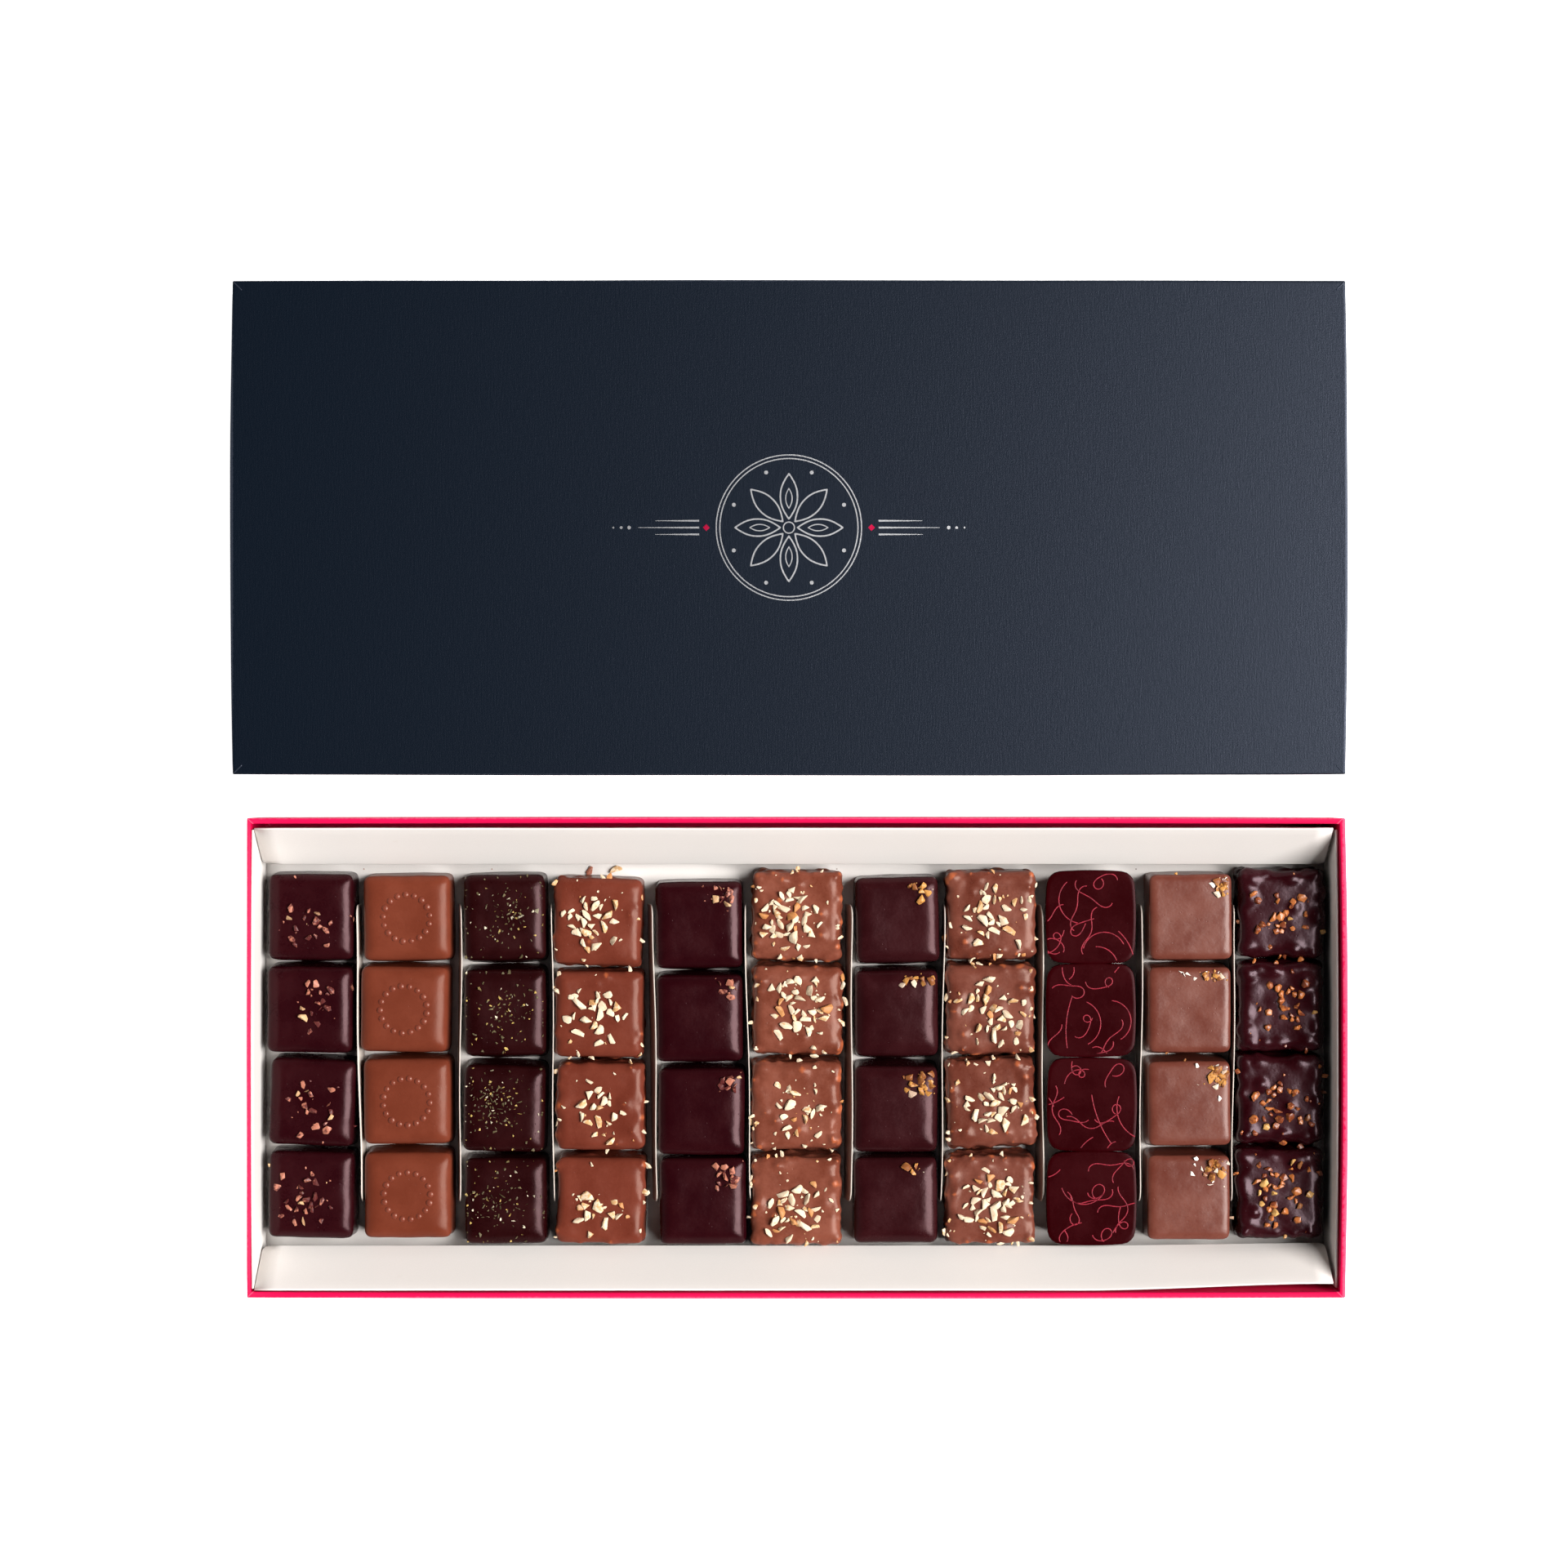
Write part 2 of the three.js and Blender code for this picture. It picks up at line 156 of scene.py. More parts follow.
def make_piece(name, shape, finish, slot, *nodes, sharp=None):
    """A finished piece from a bmesh in millimetres."""
    bmesh.ops.scale(shape, vec=(MM, MM, MM), verts=shape.verts)
    mesh = bpy.data.meshes.new(name)
    shape.to_mesh(mesh)
    shape.free()
    mesh.materials.append(finish)
    mesh.shade_smooth()
    if sharp:
        mesh.set_sharp_from_angle(angle=math.radians(sharp))
    piece = bpy.data.objects.new(name, mesh)
    bpy.context.scene.collection.objects.link(piece)
    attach(piece, "root")
    if nodes:
        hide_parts(*nodes)
    return piece


def place_of(name):
    """The middle of a CAD node's box and its size, in millimetres."""
    low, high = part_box(name)
    return (low + high) / 2 / MM, (high - low) / MM


def paper_tooth():
    """Paper or card: cloudy colour, fine fibres or a linen press, and a slightly uneven surface."""
    group, taken, given = effect(
        "paper tooth",
        [
            ("Place", "Vector", (0, 0, 0)),
            ("Colour", "Color", (1, 1, 1, 1)),
            ("Cloud", "Float", 0.05),
            ("Linen", "Float", 0.0),
            ("Fibre", "Float", 1.0),
        ],
        [("Colour", "Color"), ("Height", "Float")],
    )
    place = taken["Place"]
    cloud = math_node(group, "SUBTRACT", noise_node(group, place, 24.0, 4.0, 0.6), 0.5)
    fibre = math_node(group, "SUBTRACT", noise_node(group, place, 2600.0, 3.0, 0.7), 0.5)
    along, across = THREADS
    threads = []
    for scale in ((along, across, across), (across, along, across)):
        stretched = node(group, "ShaderNodeMapping", {"Vector": place, "Scale": scale}).outputs[0]
        threads.append(noise_node(group, stretched, 1.0, 1.0))
    weave = math_node(group, "SUBTRACT", math_node(group, "ADD", *threads), 1.0)
    linen = math_node(group, "MULTIPLY", weave, taken["Linen"])
    grain = math_node(group, "ADD", linen, math_node(group, "MULTIPLY", fibre, taken["Fibre"]))
    shade = math_node(group, "MULTIPLY_ADD", cloud, taken["Cloud"], 1.0)
    shade = math_node(group, "MULTIPLY_ADD", grain, GRAIN_SHADE, shade)
    inputs = {0: taken["Colour"], "Scale": shade}
    shaded = node(group, "ShaderNodeVectorMath", inputs, operation="SCALE").outputs[0]
    group.links.new(shaded, given["Colour"])
    group.links.new(grain, given["Height"])
    return group


def board_edge():
    """How near a point of a covered box is to its edges, and to the mitres at its rim's corners."""
    group, taken, given = effect(
        "board edge",
        [
            ("Place", "Vector", (0, 0, 0)),
            ("Middle", "Vector", (0, 0, 0)),
            ("Half", "Vector", (1, 1, 1)),
            ("Width", "Float", 0.0006),
        ],
        [("Edge", "Float"), ("Mitre", "Float")],
    )
    from_middle = vector_node(group, "SUBTRACT", taken["Place"], taken["Middle"])
    depth = vector_node(group, "SUBTRACT", taken["Half"], vector_node(group, "ABSOLUTE", from_middle))
    x, y, z = node(group, "ShaderNodeSeparateXYZ", {0: depth}).outputs
    low = math_node(group, "MINIMUM", x, y)
    high = math_node(group, "MAXIMUM", x, y)
    second = math_node(group, "MAXIMUM", low, math_node(group, "MINIMUM", high, z))
    ragged = noise_node(group, taken["Place"], 900.0, 3.0, 0.7)
    ragged = math_node(group, "MULTIPLY_ADD", ragged, 2.4, -0.35)
    wide = math_node(group, "MULTIPLY", taken["Width"], ragged)
    near = math_node(group, "DIVIDE", second, math_node(group, "MAXIMUM", wide, 0.02 * MM))
    group.links.new(smooth_step(group, near, 1.0, 0.3), given["Edge"])
    apart = math_node(group, "ABSOLUTE", math_node(group, "SUBTRACT", x, y))
    line = smooth_step(group, apart, 0.32 * MM, 0.08 * MM)
    corner = smooth_step(group, high, 2.7 * MM, 2.4 * MM)
    group.links.new(math_node(group, "MULTIPLY", line, corner), given["Mitre"])
    return group


def covered_tray(size, bows, left_wall=1.0):
    """A board tray wrapped in paper, standing on z = 0 with its open side up."""
    shape = bmesh.new()
    bmesh.ops.create_cube(shape, size=1)
    bmesh.ops.scale(shape, vec=size, verts=shape.verts)
    bmesh.ops.translate(shape, vec=(0, 0, size.z / 2), verts=shape.verts)
    for axis, cuts in enumerate(WALL_CUTS):
        along = [e for e in shape.edges if abs(e.verts[0].co[axis] - e.verts[1].co[axis]) > 1]
        bmesh.ops.subdivide_edges(shape, edges=along, cuts=cuts, use_grid_fill=True)
    shape.normal_update()
    top = [face for face in shape.faces if face.normal.z > 0.9]
    bmesh.ops.inset_region(shape, faces=top, thickness=BOARD, use_even_offset=True)
    sunk = bmesh.ops.extrude_face_region(shape, geom=top)["geom"]
    bmesh.ops.delete(shape, geom=top, context="FACES")
    lowered = [part for part in sunk if isinstance(part, bmesh.types.BMVert)]
    bmesh.ops.translate(shape, vec=(0, 0, BOARD - size.z), verts=lowered)
    half_x, half_y = size.x / 2, size.y / 2
    for way, edge in (
        ((1, 0, 0), half_x), ((-1, 0, 0), half_x), ((0, 1, 0), half_y), ((0, -1, 0), half_y),
        ((0, 0, 1), size.z), ((0, 0, 1), 2 * EDGE_LOOP),
    ):
        geometry = shape.verts[:] + shape.edges[:] + shape.faces[:]
        loop = Vector(way) * (edge - EDGE_LOOP)
        bmesh.ops.bisect_plane(shape, geom=geometry, dist=0.001, plane_co=loop, plane_no=way)
    shape.normal_update()
    edges = [edge for edge in shape.edges if edge.calc_face_angle(0) > 1]
    bmesh.ops.bevel(
        shape, geom=edges, offset=PAPER_EDGE, affect="EDGES", segments=3, profile=0.5, material=-1,
        clamp_overlap=True,
    )
    for vert in shape.verts:
        x, y, z = vert.co
        if z > size.z - EDGE_LOOP - SLACK:
            vert.co.z -= RIM_FALL * min(1, min(half_x - abs(x), half_y - abs(y)) / BOARD)
        if abs(x) > half_x - BOARD - SLACK:
            moved, bow = bows["right" if x > 0 else "left"]
            vert.co.x += math.copysign(moved + bow * (1 - (y / half_y) ** 2), x)
            vert.co.x -= (1 - left_wall) * (half_x - abs(x)) if x < 0 else 0
        if abs(y) > half_y - BOARD - SLACK:
            moved, bow = bows["back" if y > 0 else "front"]
            vert.co.y += math.copysign(moved + bow * (1 - (x / half_x) ** 2), y)
        vert.co.x += UNEVEN * noise.noise(Vector((y / SHORT_WAVE, z / LONG_WAVE, size.x)))
        vert.co.y += UNEVEN * noise.noise(Vector((x / LONG_WAVE, z / LONG_WAVE, size.y)))
    return shape


PAPER_TOOTH = paper_tooth()
BOARD_EDGES = board_edge()


def box_paper(name, middle, size, colour, edge_tone, linen, edge_width, specular, roughness, tint=(1, 1, 1, 1)):
    """Covering paper with a paler colour along its edges and on the mitres. The width of the paler line along
    the edges is given in millimetres.
    """
    finish, tree, shader, place = finish_for(name, roughness, specular, Specular_Tint=tint)
    tooth = use(tree, PAPER_TOOTH, Place=place, Colour=colour, Cloud=0.12, Linen=linen, Fibre=0.6)
    edge = use(tree, BOARD_EDGES, Place=place, Middle=middle * MM, Half=size * MM / 2, Width=edge_width * MM)
    # a paler colour along every edge and on the mitre lines
    paper = mix_colour(tree, math_node(tree, "MULTIPLY", edge["Edge"], EDGE_PALING), tooth["Colour"], edge_tone)
    paper = mix_colour(tree, math_node(tree, "MULTIPLY", edge["Mitre"], MITRE_PALING), paper, edge_tone)
    fold = math_node(tree, "MULTIPLY_ADD", edge["Mitre"], 1.6, tooth["Height"])
    connect(tree, shader, paper, height=fold, bump=0.05)
    return finish


box_middle, box_size = place_of("box_tray")
RED_PAPER = box_paper(
    "red paper", box_middle, box_size, srgb(213, 4, 70), srgb(234, 104, 138),
    linen=0.1, edge_width=0.35, specular=0.12, roughness=0.5,
)
box_shape = covered_tray(box_size, BOX_BOWS, LEFT_WALL)
make_piece("box_cover", box_shape, RED_PAPER, "red_paper", "box_tray", sharp=SHARP_FOLD)

# The lid: a board tray of the same make, a little larger, wrapped in navy paper with a fine linen press.
# It lies open side down behind the box.
lid_middle, lid_size = place_of("lid")
NAVY_PAPER = box_paper(
    "navy paper", lid_middle, lid_size, srgb(0, 8, 19), srgb(52, 57, 68),
    linen=0.3, edge_width=0.3, specular=0.32, roughness=0.355, tint=(0.7, 0.77, 1, 1),
)
lid_shape = covered_tray(lid_size, LID_BOWS)
turned_over = Matrix.Rotation(math.pi, 3, "X")
bmesh.ops.rotate(lid_shape, cent=(0, 0, lid_size.z / 2), matrix=turned_over, verts=lid_shape.verts)
bmesh.ops.translate(lid_shape, vec=(lid_middle.x, lid_middle.y, 0), verts=lid_shape.verts)
make_piece("lid_cover", lid_shape, NAVY_PAPER, "navy_paper", "lid", sharp=SHARP_FOLD)

# The ornament in the middle of the lid: silver foil pressed into the paper with a hot stamp. It is a plain
# rosette of eight leaves with tapering rules and beads on either side, and two small red foil lozenges.
FOIL_HEIGHT = 0.03
LEAF_LENGTH = 13.0
LEAF_WIDTH = 5.2
LEAF_START = 2.2  # from the middle of the ornament to the near end of a leaf
INNER_START = 5.2  # and to that of the small leaf inside every other leaf
INNER_LEAF = (0.45, 0.4, 0.7)  # the length, width and line of a small leaf as shares of a large one's
FOIL_LINE = 0.42
SHARP_FOIL = 40
LEAF_DOTS = (16.6, 0.55)  # how far from the middle the dots between the leaves lie, and their radius
RINGS = (1.7, 19.4, 20.4)
RING_LINE = 0.32
RULE_START = 25.0
RULE_LENGTH = 17.0
RULES = ((0.0, 1.0), (1.9, 0.72), (-1.9, 0.72))  # how far off the middle, and the share of the length
RULE_ENDS = (0.5, 0.12)  # how thick a rule is at its near and its far end
BEADS = (44.5, 2.2)  # where the first bead lies, and how far apart they are
LOZENGES = (23.0, 0.95)  # how far from the middle they lie, and half their width


def foil_ring(shape, length, width, line, turn, away):
    """The outline of a leaf with pointed ends, its near end some way from the ornament's middle."""
    rims = []
    for inner in (0, 1):
        ends = (length - 3.2 * line * inner) / 2
        sides = (width - 2 * line * inner) / 2
        ring = bmesh.ops.create_circle(shape, segments=40, radius=1)["verts"]
        for vert in ring:
            narrow = (1 - abs(vert.co.x) ** 2.6) if abs(vert.co.x) < 1 else 0
            vert.co = Vector((vert.co.x * ends, vert.co.y * sides * (0.35 + 0.65 * narrow), 0))
        rims.append(ring)
    bmesh.ops.bridge_loops(shape, edges=edges_of(rims[0] + rims[1]))
    verts = rims[0] + rims[1]
    bmesh.ops.translate(shape, vec=(away + length / 2, 0, 0), verts=verts)
    bmesh.ops.rotate(shape, cent=(0, 0, 0), matrix=Matrix.Rotation(turn, 3, "Z"), verts=verts)


def foil_bar(shape, middle, length, thick_in, thick_out):
    """A rule that tapers away from the middle of the ornament."""
    away = math.copysign(length, middle[0])
    for vert in bmesh.ops.create_grid(shape, x_segments=2, y_segments=1, size=0.5)["verts"]:
        thick = thick_in + (thick_out - thick_in) * (vert.co.x + 0.5)
        vert.co = Vector((middle[0] + away * vert.co.x, middle[1] + thick * vert.co.y, 0))


def edges_of(verts):
    return list({edge for vert in verts for edge in vert.link_edges})


def foil_dot(shape, middle, radius, corners=16):
    dot = bmesh.ops.create_circle(shape, segments=corners, radius=radius, cap_ends=True)["verts"]
    bmesh.ops.translate(shape, vec=(*middle, 0), verts=dot)


def lay_on_lid(shape):
    """Gives flat foil its thickness and lays it on the middle of the lid."""
    bmesh.ops.recalc_face_normals(shape, faces=shape.faces)
    for face in shape.faces:
        if face.normal.z < 0:
            face.normal_flip()
    raised = bmesh.ops.extrude_face_region(shape, geom=shape.faces[:], use_keep_orig=True)["geom"]
    lifted = [part for part in raised if isinstance(part, bmesh.types.BMVert)]
    bmesh.ops.translate(shape, vec=(0, 0, FOIL_HEIGHT), verts=lifted)
    bmesh.ops.recalc_face_normals(shape, faces=shape.faces)
    bmesh.ops.translate(shape, vec=(lid_middle.x, lid_middle.y, lid_size.z), verts=shape.verts)
    return shape


def foil(name, colour):
    finish, tree, shader, place = finish_for(name, 0.3, 0.5)
    rubbed = noise_node(tree, place, 420.0, 5.0, 0.75)
    dull = (*(0.55 * share for share in colour[:3]), 1)
    tone = mix_colour(tree, smooth_step(tree, rubbed, 0.35, 0.7), colour, dull)
    rough = math_node(tree, "MULTIPLY_ADD", rubbed, 0.3, 0.2)
    grain = noise_node(tree, place, 1800.0, 2.0)
    connect(tree, shader, tone, rough, grain, 0.02, smooth_step(tree, rubbed, 0.85, 0.6))
    return finish


silver = bmesh.new()
large_leaf = (LEAF_LENGTH, LEAF_WIDTH, FOIL_LINE)
small_leaf = [share * size for share, size in zip(INNER_LEAF, large_leaf)]
for number in range(8):
    turn = number * math.pi / 4
    foil_ring(silver, *large_leaf, turn, LEAF_START)
    if number % 2 == 0:
        foil_ring(silver, *small_leaf, turn, INNER_START)
    away, between = LEAF_DOTS[0], turn + math.pi / 8
    foil_dot(silver, (away * math.cos(between), away * math.sin(between)), LEAF_DOTS[1])
for radius in RINGS:
    outer = bmesh.ops.create_circle(silver, segments=96, radius=radius)["verts"]
    inner = bmesh.ops.create_circle(silver, segments=96, radius=radius - RING_LINE)["verts"]
    bmesh.ops.bridge_loops(silver, edges=edges_of(outer + inner))
for side in (-1, 1):
    for level, reach in RULES:
        length = reach * RULE_LENGTH
        foil_bar(silver, (side * (RULE_START + length / 2), level), length, *RULE_ENDS)
    for bead in range(3):
        foil_dot(silver, (side * (BEADS[0] + BEADS[1] * bead), 0), 0.5 - 0.12 * bead)
SILVER = foil("silver foil", srgb(214, 215, 219))
make_piece("lid_foil", lay_on_lid(silver), SILVER, "silver_foil", sharp=SHARP_FOIL)
lozenges = bmesh.new()
for side in (-1, 1):
    foil_dot(lozenges, (side * LOZENGES[0], 0), LOZENGES[1], corners=4)
RED_FOIL = foil("red foil", srgb(226, 34, 84))
make_piece("lid_lozenges", lay_on_lid(lozenges), RED_FOIL, "silver_foil", sharp=SHARP_FOIL)

# The liner: one sheet of warm white card, creased into a trough with two end walls. Its long walls rise to
# the rim and fold back down towards the pralines as sloping flaps with rounded corners.
CARD = 0.5
FLAP_RUN = 10.0
FLAP_FALL = 15.7
SHARP_CARD = 70
FOLD_RISE = 1.6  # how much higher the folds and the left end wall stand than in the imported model
FLAP_CORNER = 2.3
CREASE = 0.25
FLAP_SHIFT = 1.9  # how far the front flap has slid off the rim at its right end
END_OUT = {-1: 1.1, 1: 1.2}  # how far the left and the right end wall lean out towards the board
FLAP_OUT = {-1: 0.6, 1: -0.1}  # and how far the ends of the long walls follow them
SLID_FORWARD = 0.45  # the liner sits against the front of the box


def card(name, colour):
    finish, tree, shader, place = finish_for(name, 0.62, 0.3)
    tooth = use(tree, PAPER_TOOTH, Place=place, Colour=colour, Cloud=0.06, Linen=0.0, Fibre=0.35)
    scuff = smooth_step(tree, noise_node(tree, place, 160.0, 4.0, 0.75), 0.66, 0.8)
    faint = math_node(tree, "MULTIPLY", scuff, 0.12)
    soiled = mix_colour(tree, faint, tooth["Colour"], srgb(196, 172, 150))
    connect(tree, shader, soiled, height=tooth["Height"], bump=0.03)
    return finish


def thicken(piece, thickness):
    """Gives a sheet its thickness, half of it to either side."""
    solid = piece.modifiers.new("card thickness", "SOLIDIFY")
    solid.thickness = thickness * MM
    solid.offset = 0


def folded_sheet(profile, length, steps):
    """A sheet that follows a profile of (y, z) points, drawn out along X."""
    shape = bmesh.new()
    row = [shape.verts.new((-length / 2, y, z)) for y, z in profile]
    edges = [shape.edges.new(pair) for pair in zip(row, row[1:])]
    step = (length / steps, 0, 0)
    bmesh.ops.spin(shape, geom=row + edges, axis=(0, 0, 1), angle=0, steps=steps, dvec=step)
    return shape


def crease_points(before, corner, after, radius, count=4):
    """Points that round a fold at a corner of a profile."""
    start = corner + (before - corner).normalized() * radius
    end = corner + (after - corner).normalized() * radius
    bend = []
    for step in range(count + 1):
        share = step / count
        bend.append(start.lerp(corner, share).lerp(corner.lerp(end, share), share))
    return bend


WHITE_CARD = card("white card", srgb(230, 225, 221))
liner_middle, liner_size = place_of("liner")
half_x = liner_size.x / 2
half_y = liner_size.y / 2 - CARD / 2
floor_z = liner_middle.z - liner_size.z / 2 + CARD / 2
top_z = liner_middle.z + liner_size.z / 2 - CARD / 2
fold_z = top_z + FOLD_RISE
toe = Vector((-half_y + FLAP_RUN, fold_z - FLAP_FALL))
fold = Vector((-half_y, fold_z))
heel = Vector((-half_y, floor_z))
slant = (fold - toe).normalized()
corner_rows = [toe + slant * FLAP_CORNER * share for share in (0, 0.06, 0.16, 0.32, 0.55, 0.8, 1.0)]
slope_rows = [corner_rows[-1].lerp(fold - slant * CREASE, share) for share in (0.2, 0.4, 0.6, 0.8)]
front_half = corner_rows + slope_rows + crease_points(toe, fold, heel, CREASE)
front_half += [fold.lerp(heel, share) for share in (0.3, 0.6)]
front_half += crease_points(fold, heel, Vector((0, floor_z)), CREASE)
front_half += [Vector((-half_y * s, floor_z)) for s in (0.75, 0.5, 0.25)]
back_half = [Vector((-point.x, point.y)) for point in reversed(front_half)]
liner_shape = folded_sheet(front_half + [Vector((0, floor_z))] + back_half, 2 * half_x - CARD, 60)
for vert in liner_shape.verts:
    x, y, z = vert.co
    end = 1 if x > 0 else -1
    from_toe = (Vector((-abs(y), z)) - toe).dot(slant)
    off_slope = abs((Vector((-abs(y), z)) - toe).cross(slant))
    if off_slope < 0.05 and z > toe.y - 0.01:
        if abs(x) > half_x - CARD:
            rounding = FLAP_CORNER * (0.8 if x > 0 else 1.0)
            if from_toe < rounding:
                cut = rounding - math.sqrt(max(0, rounding**2 - (rounding - from_toe) ** 2))
                vert.co.x -= math.copysign(cut, x)
        vert.co.z += 0.22 * noise.noise(Vector((x / 40, y / 60, 3)))
    if abs(x) > half_x - CARD:
        if z < floor_z + 0.01:
            vert.co.x = end * (half_x + END_OUT[end])
        else:
            vert.co.x += end * FLAP_OUT[end]
    if y < 0 and z > floor_z + 6:
        slid = min(1, max(0, (x - 80) / 70))
        vert.co.y += FLAP_SHIFT * slid * slid * (3 - 2 * slid) * min(1, (z - floor_z - 6) / 8)
for side in (-1, 1):
    wall = bmesh.ops.create_grid(liner_shape, x_segments=8, y_segments=20, size=0.5)["verts"]
    for vert in wall:
        u, v = vert.co.x + 0.5, vert.co.y
        bowed = (0.3 + 0.2 * math.sin(math.pi * u)) * (1 - (2 * v) ** 2)
        out = half_x - CARD / 2 + END_OUT[side] + bowed
        crest = fold_z if side < 0 else top_z
        vert.co = Vector((side * out, 2 * v * (half_y - 0.35), floor_z + u * (crest - floor_z)))
bmesh.ops.recalc_face_normals(liner_shape, faces=liner_shape.faces)
bmesh.ops.translate(liner_shape, vec=(0, -SLID_FORWARD, 0), verts=liner_shape.verts)
liner = make_piece("liner_card", liner_shape, WHITE_CARD, "white_card", "liner", sharp=SHARP_CARD)
thicken(liner, CARD)

# The ten strips between the columns: the same white card, with its colour painted darker as the shade that
# falls between the pralines, cut with rounded ends and stood on edge there, leaning to the right. They are
# held only by the pralines on either side.
# painted shade: the strips get a darker copy of the white card's colour, for the shade between the pralines
SHADED_STRIP_CARD = card("shaded strip card", srgb(204, 193, 183))
STRIP_THICK = 0.28
STRIP_CORNER = 4.0
STRIP_BOW = 0.3
FOOT_RIGHT = 0.45  # how much nearer a strip's foot is to the column on its right


def strip_line(corners, level, side):
    """The middle of a packed strip at its foot or crest, near its front or back end."""
    near = [corner.x for corner in corners if abs(corner.z - level) < 0.15 and corner.y * side > 0]
    return (min(near) + max(near)) / 2


for number in range(1, 11):
    corners = [vert.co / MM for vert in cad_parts[f"strip_{number}"].data.vertices]
    low, high = min(corner.z for corner in corners), max(corner.z for corner in corners)
    reach = max(corner.y for corner in corners)
    foot = [strip_line(corners, low, side) + FOOT_RIGHT for side in (-1, 1)]
    crest = [strip_line(corners, high, side) for side in (-1, 1)]
    strip = bmesh.new()
    bmesh.ops.create_grid(strip, x_segments=40, y_segments=6, size=1)
    for vert in strip.verts:
        along, up = math.sin(math.pi / 2 * vert.co.x), (vert.co.y + 1) / 2
        y = along * reach
        from_end = min(STRIP_CORNER, reach - abs(y))
        cut = STRIP_CORNER - math.sqrt(STRIP_CORNER**2 - (STRIP_CORNER - from_end) ** 2)
        z = low + up * (high - low - cut)
        rise, share = (z - low) / (high - low), (along + 1) / 2
        at_foot = foot[0] + share * (foot[1] - foot[0])
        at_crest = crest[0] + share * (crest[1] - crest[0])
        bow = STRIP_BOW * rise * math.sin(2.2 * math.pi * share + number) * (1 - along**4)
        vert.co = Vector((at_foot + rise * (at_crest - at_foot) + bow, y, z))
    bmesh.ops.recalc_face_normals(strip, faces=strip.faces)
    node_name = f"strip_{number}"
    made = make_piece(f"strip_card_{number}", strip, SHADED_STRIP_CARD, "white_card", node_name, sharp=SHARP_CARD)
    thicken(made, STRIP_THICK)

# The pralines: 4 rows of 11 kinds, each a square of ganache or praline paste. Ten kinds are enrobed: a thin
# coat of couverture that rounds their edges, spreads to a small foot and shows what lies under it.
PRALINE_HEIGHT = 13.0
SOFT_EDGE = (4.2, 2.5)  # the shoulder of the coat, across and down: thick coat, usual coat, crisp coat
USUAL_EDGE = (3.0, 2.1)
CRISP_EDGE = (2.0, 1.2)
COAT_CORNER = 1.9
SIDE_FLARE = 0.33  # how far the coat spreads from the shoulder down to the foot, at the left and right
END_FLARE = 0.7  # the same at the front and back of the box; between two rows the feet meet
FOOT = 0.15  # share of that by which it spreads further in uneven lobes at the very bottom
ROWS = range(1, 5)


def dice(seed):
    """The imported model's seeded dice from 0 to 1, so that toppings lie where its larger ones do."""
    state = seed

    def roll():
        nonlocal state
        state = state * 16807 % 2147483647
        return state / 2147483647

    return roll


def chocolate_coat():
    """A chocolate coat: its colour in soft clouds, a slight bloom, fine grain and a few pin holes."""
    group, taken, given = effect(
        "chocolate coat",
        [
            ("Place", "Vector", (0, 0, 0)),
            ("Deep", "Color", (0, 0, 0, 1)),
            ("Pale", "Color", (1, 1, 1, 1)),
            ("Cloud size", "Float", 0.009),
            ("Gloss", "Float", 0.35),
        ],
        [("Colour", "Color"), ("Roughness", "Float"), ("Height", "Float")],
    )
    place = taken["Place"]
    cloud = noise_node(group, place, math_node(group, "DIVIDE", 1.0, taken["Cloud size"]), 4.0, 0.55)
    fine = noise_node(group, place, 1500.0, 3.0, 0.6)
    share = math_node(group, "MULTIPLY_ADD", fine, 0.25, math_node(group, "SUBTRACT", cloud, 0.12))
    tone = mix_colour(group, smooth_step(group, share, 0.3, 0.72), taken["Deep"], taken["Pale"])
    cells = node(group, "ShaderNodeTexVoronoi", {"Vector": place, "Scale": 420.0}).outputs["Distance"]
    pits = math_node(group, "MULTIPLY", smooth_step(group, cells, 0.1, 0.05), 0.8)
    group.links.new(tone, given["Colour"])
    group.links.new(math_node(group, "MULTIPLY_ADD", share, 0.18, taken["Gloss"]), given["Roughness"])
    waves = math_node(group, "MULTIPLY", noise_node(group, place, 320.0, 2.0, 0.5), 2.2)
    waves = math_node(group, "ADD", waves, math_node(group, "MULTIPLY", fine, 0.5))
    group.links.new(math_node(group, "SUBTRACT", waves, pits), given["Height"])
    return group


CHOCOLATE_COAT = chocolate_coat()
DARK_SHEEN = (1, 0.64, 0.68, 1)  # cocoa butter tints the shine of chocolate
MILK_SHEEN = (1, 0.78, 0.68, 1)
# painted glint: the amber that the coat gets on the crests of its lumps
NUT_GLINT = srgb(176, 92, 54)
CLOUD_SIZE = 9.0


def chocolate(name, deep, pale, gloss, specular=0.2, bump=0.04, sheen=DARK_SHEEN, lump_glint=0.0):
    """Couverture, with an amber glint painted on the crests of the lumps that nut pieces push up under the
    coat; the last argument sets how much of it shows.
    """
    finish, tree, shader, place = finish_for(name, gloss, specular, Specular_Tint=sheen)
    looks = {"Deep": srgb(*deep), "Pale": srgb(*pale), "Cloud_size": CLOUD_SIZE * MM, "Gloss": gloss - 0.09}
    couverture = use(tree, CHOCOLATE_COAT, Place=place, **looks)
    colour = couverture["Colour"]
    if lump_glint:
        # painted glint: amber mixed in on the crests of the lumps, in the share given
        pushed = node(tree, "ShaderNodeAttribute", attribute_name="lump_glint").outputs["Fac"]
        glint_share = math_node(tree, "MULTIPLY", smooth_step(tree, pushed, 0.62, 1.0), lump_glint)
        colour = mix_colour(tree, glint_share, colour, NUT_GLINT)
    connect(tree, shader, colour, couverture["Roughness"], couverture["Height"], bump)
    return finish


def spread(share):
    """Steps that are even in the middle of a side and closer near its ends."""
    return 0.6 * share + 0.4 * math.sin(math.pi / 2 * share)


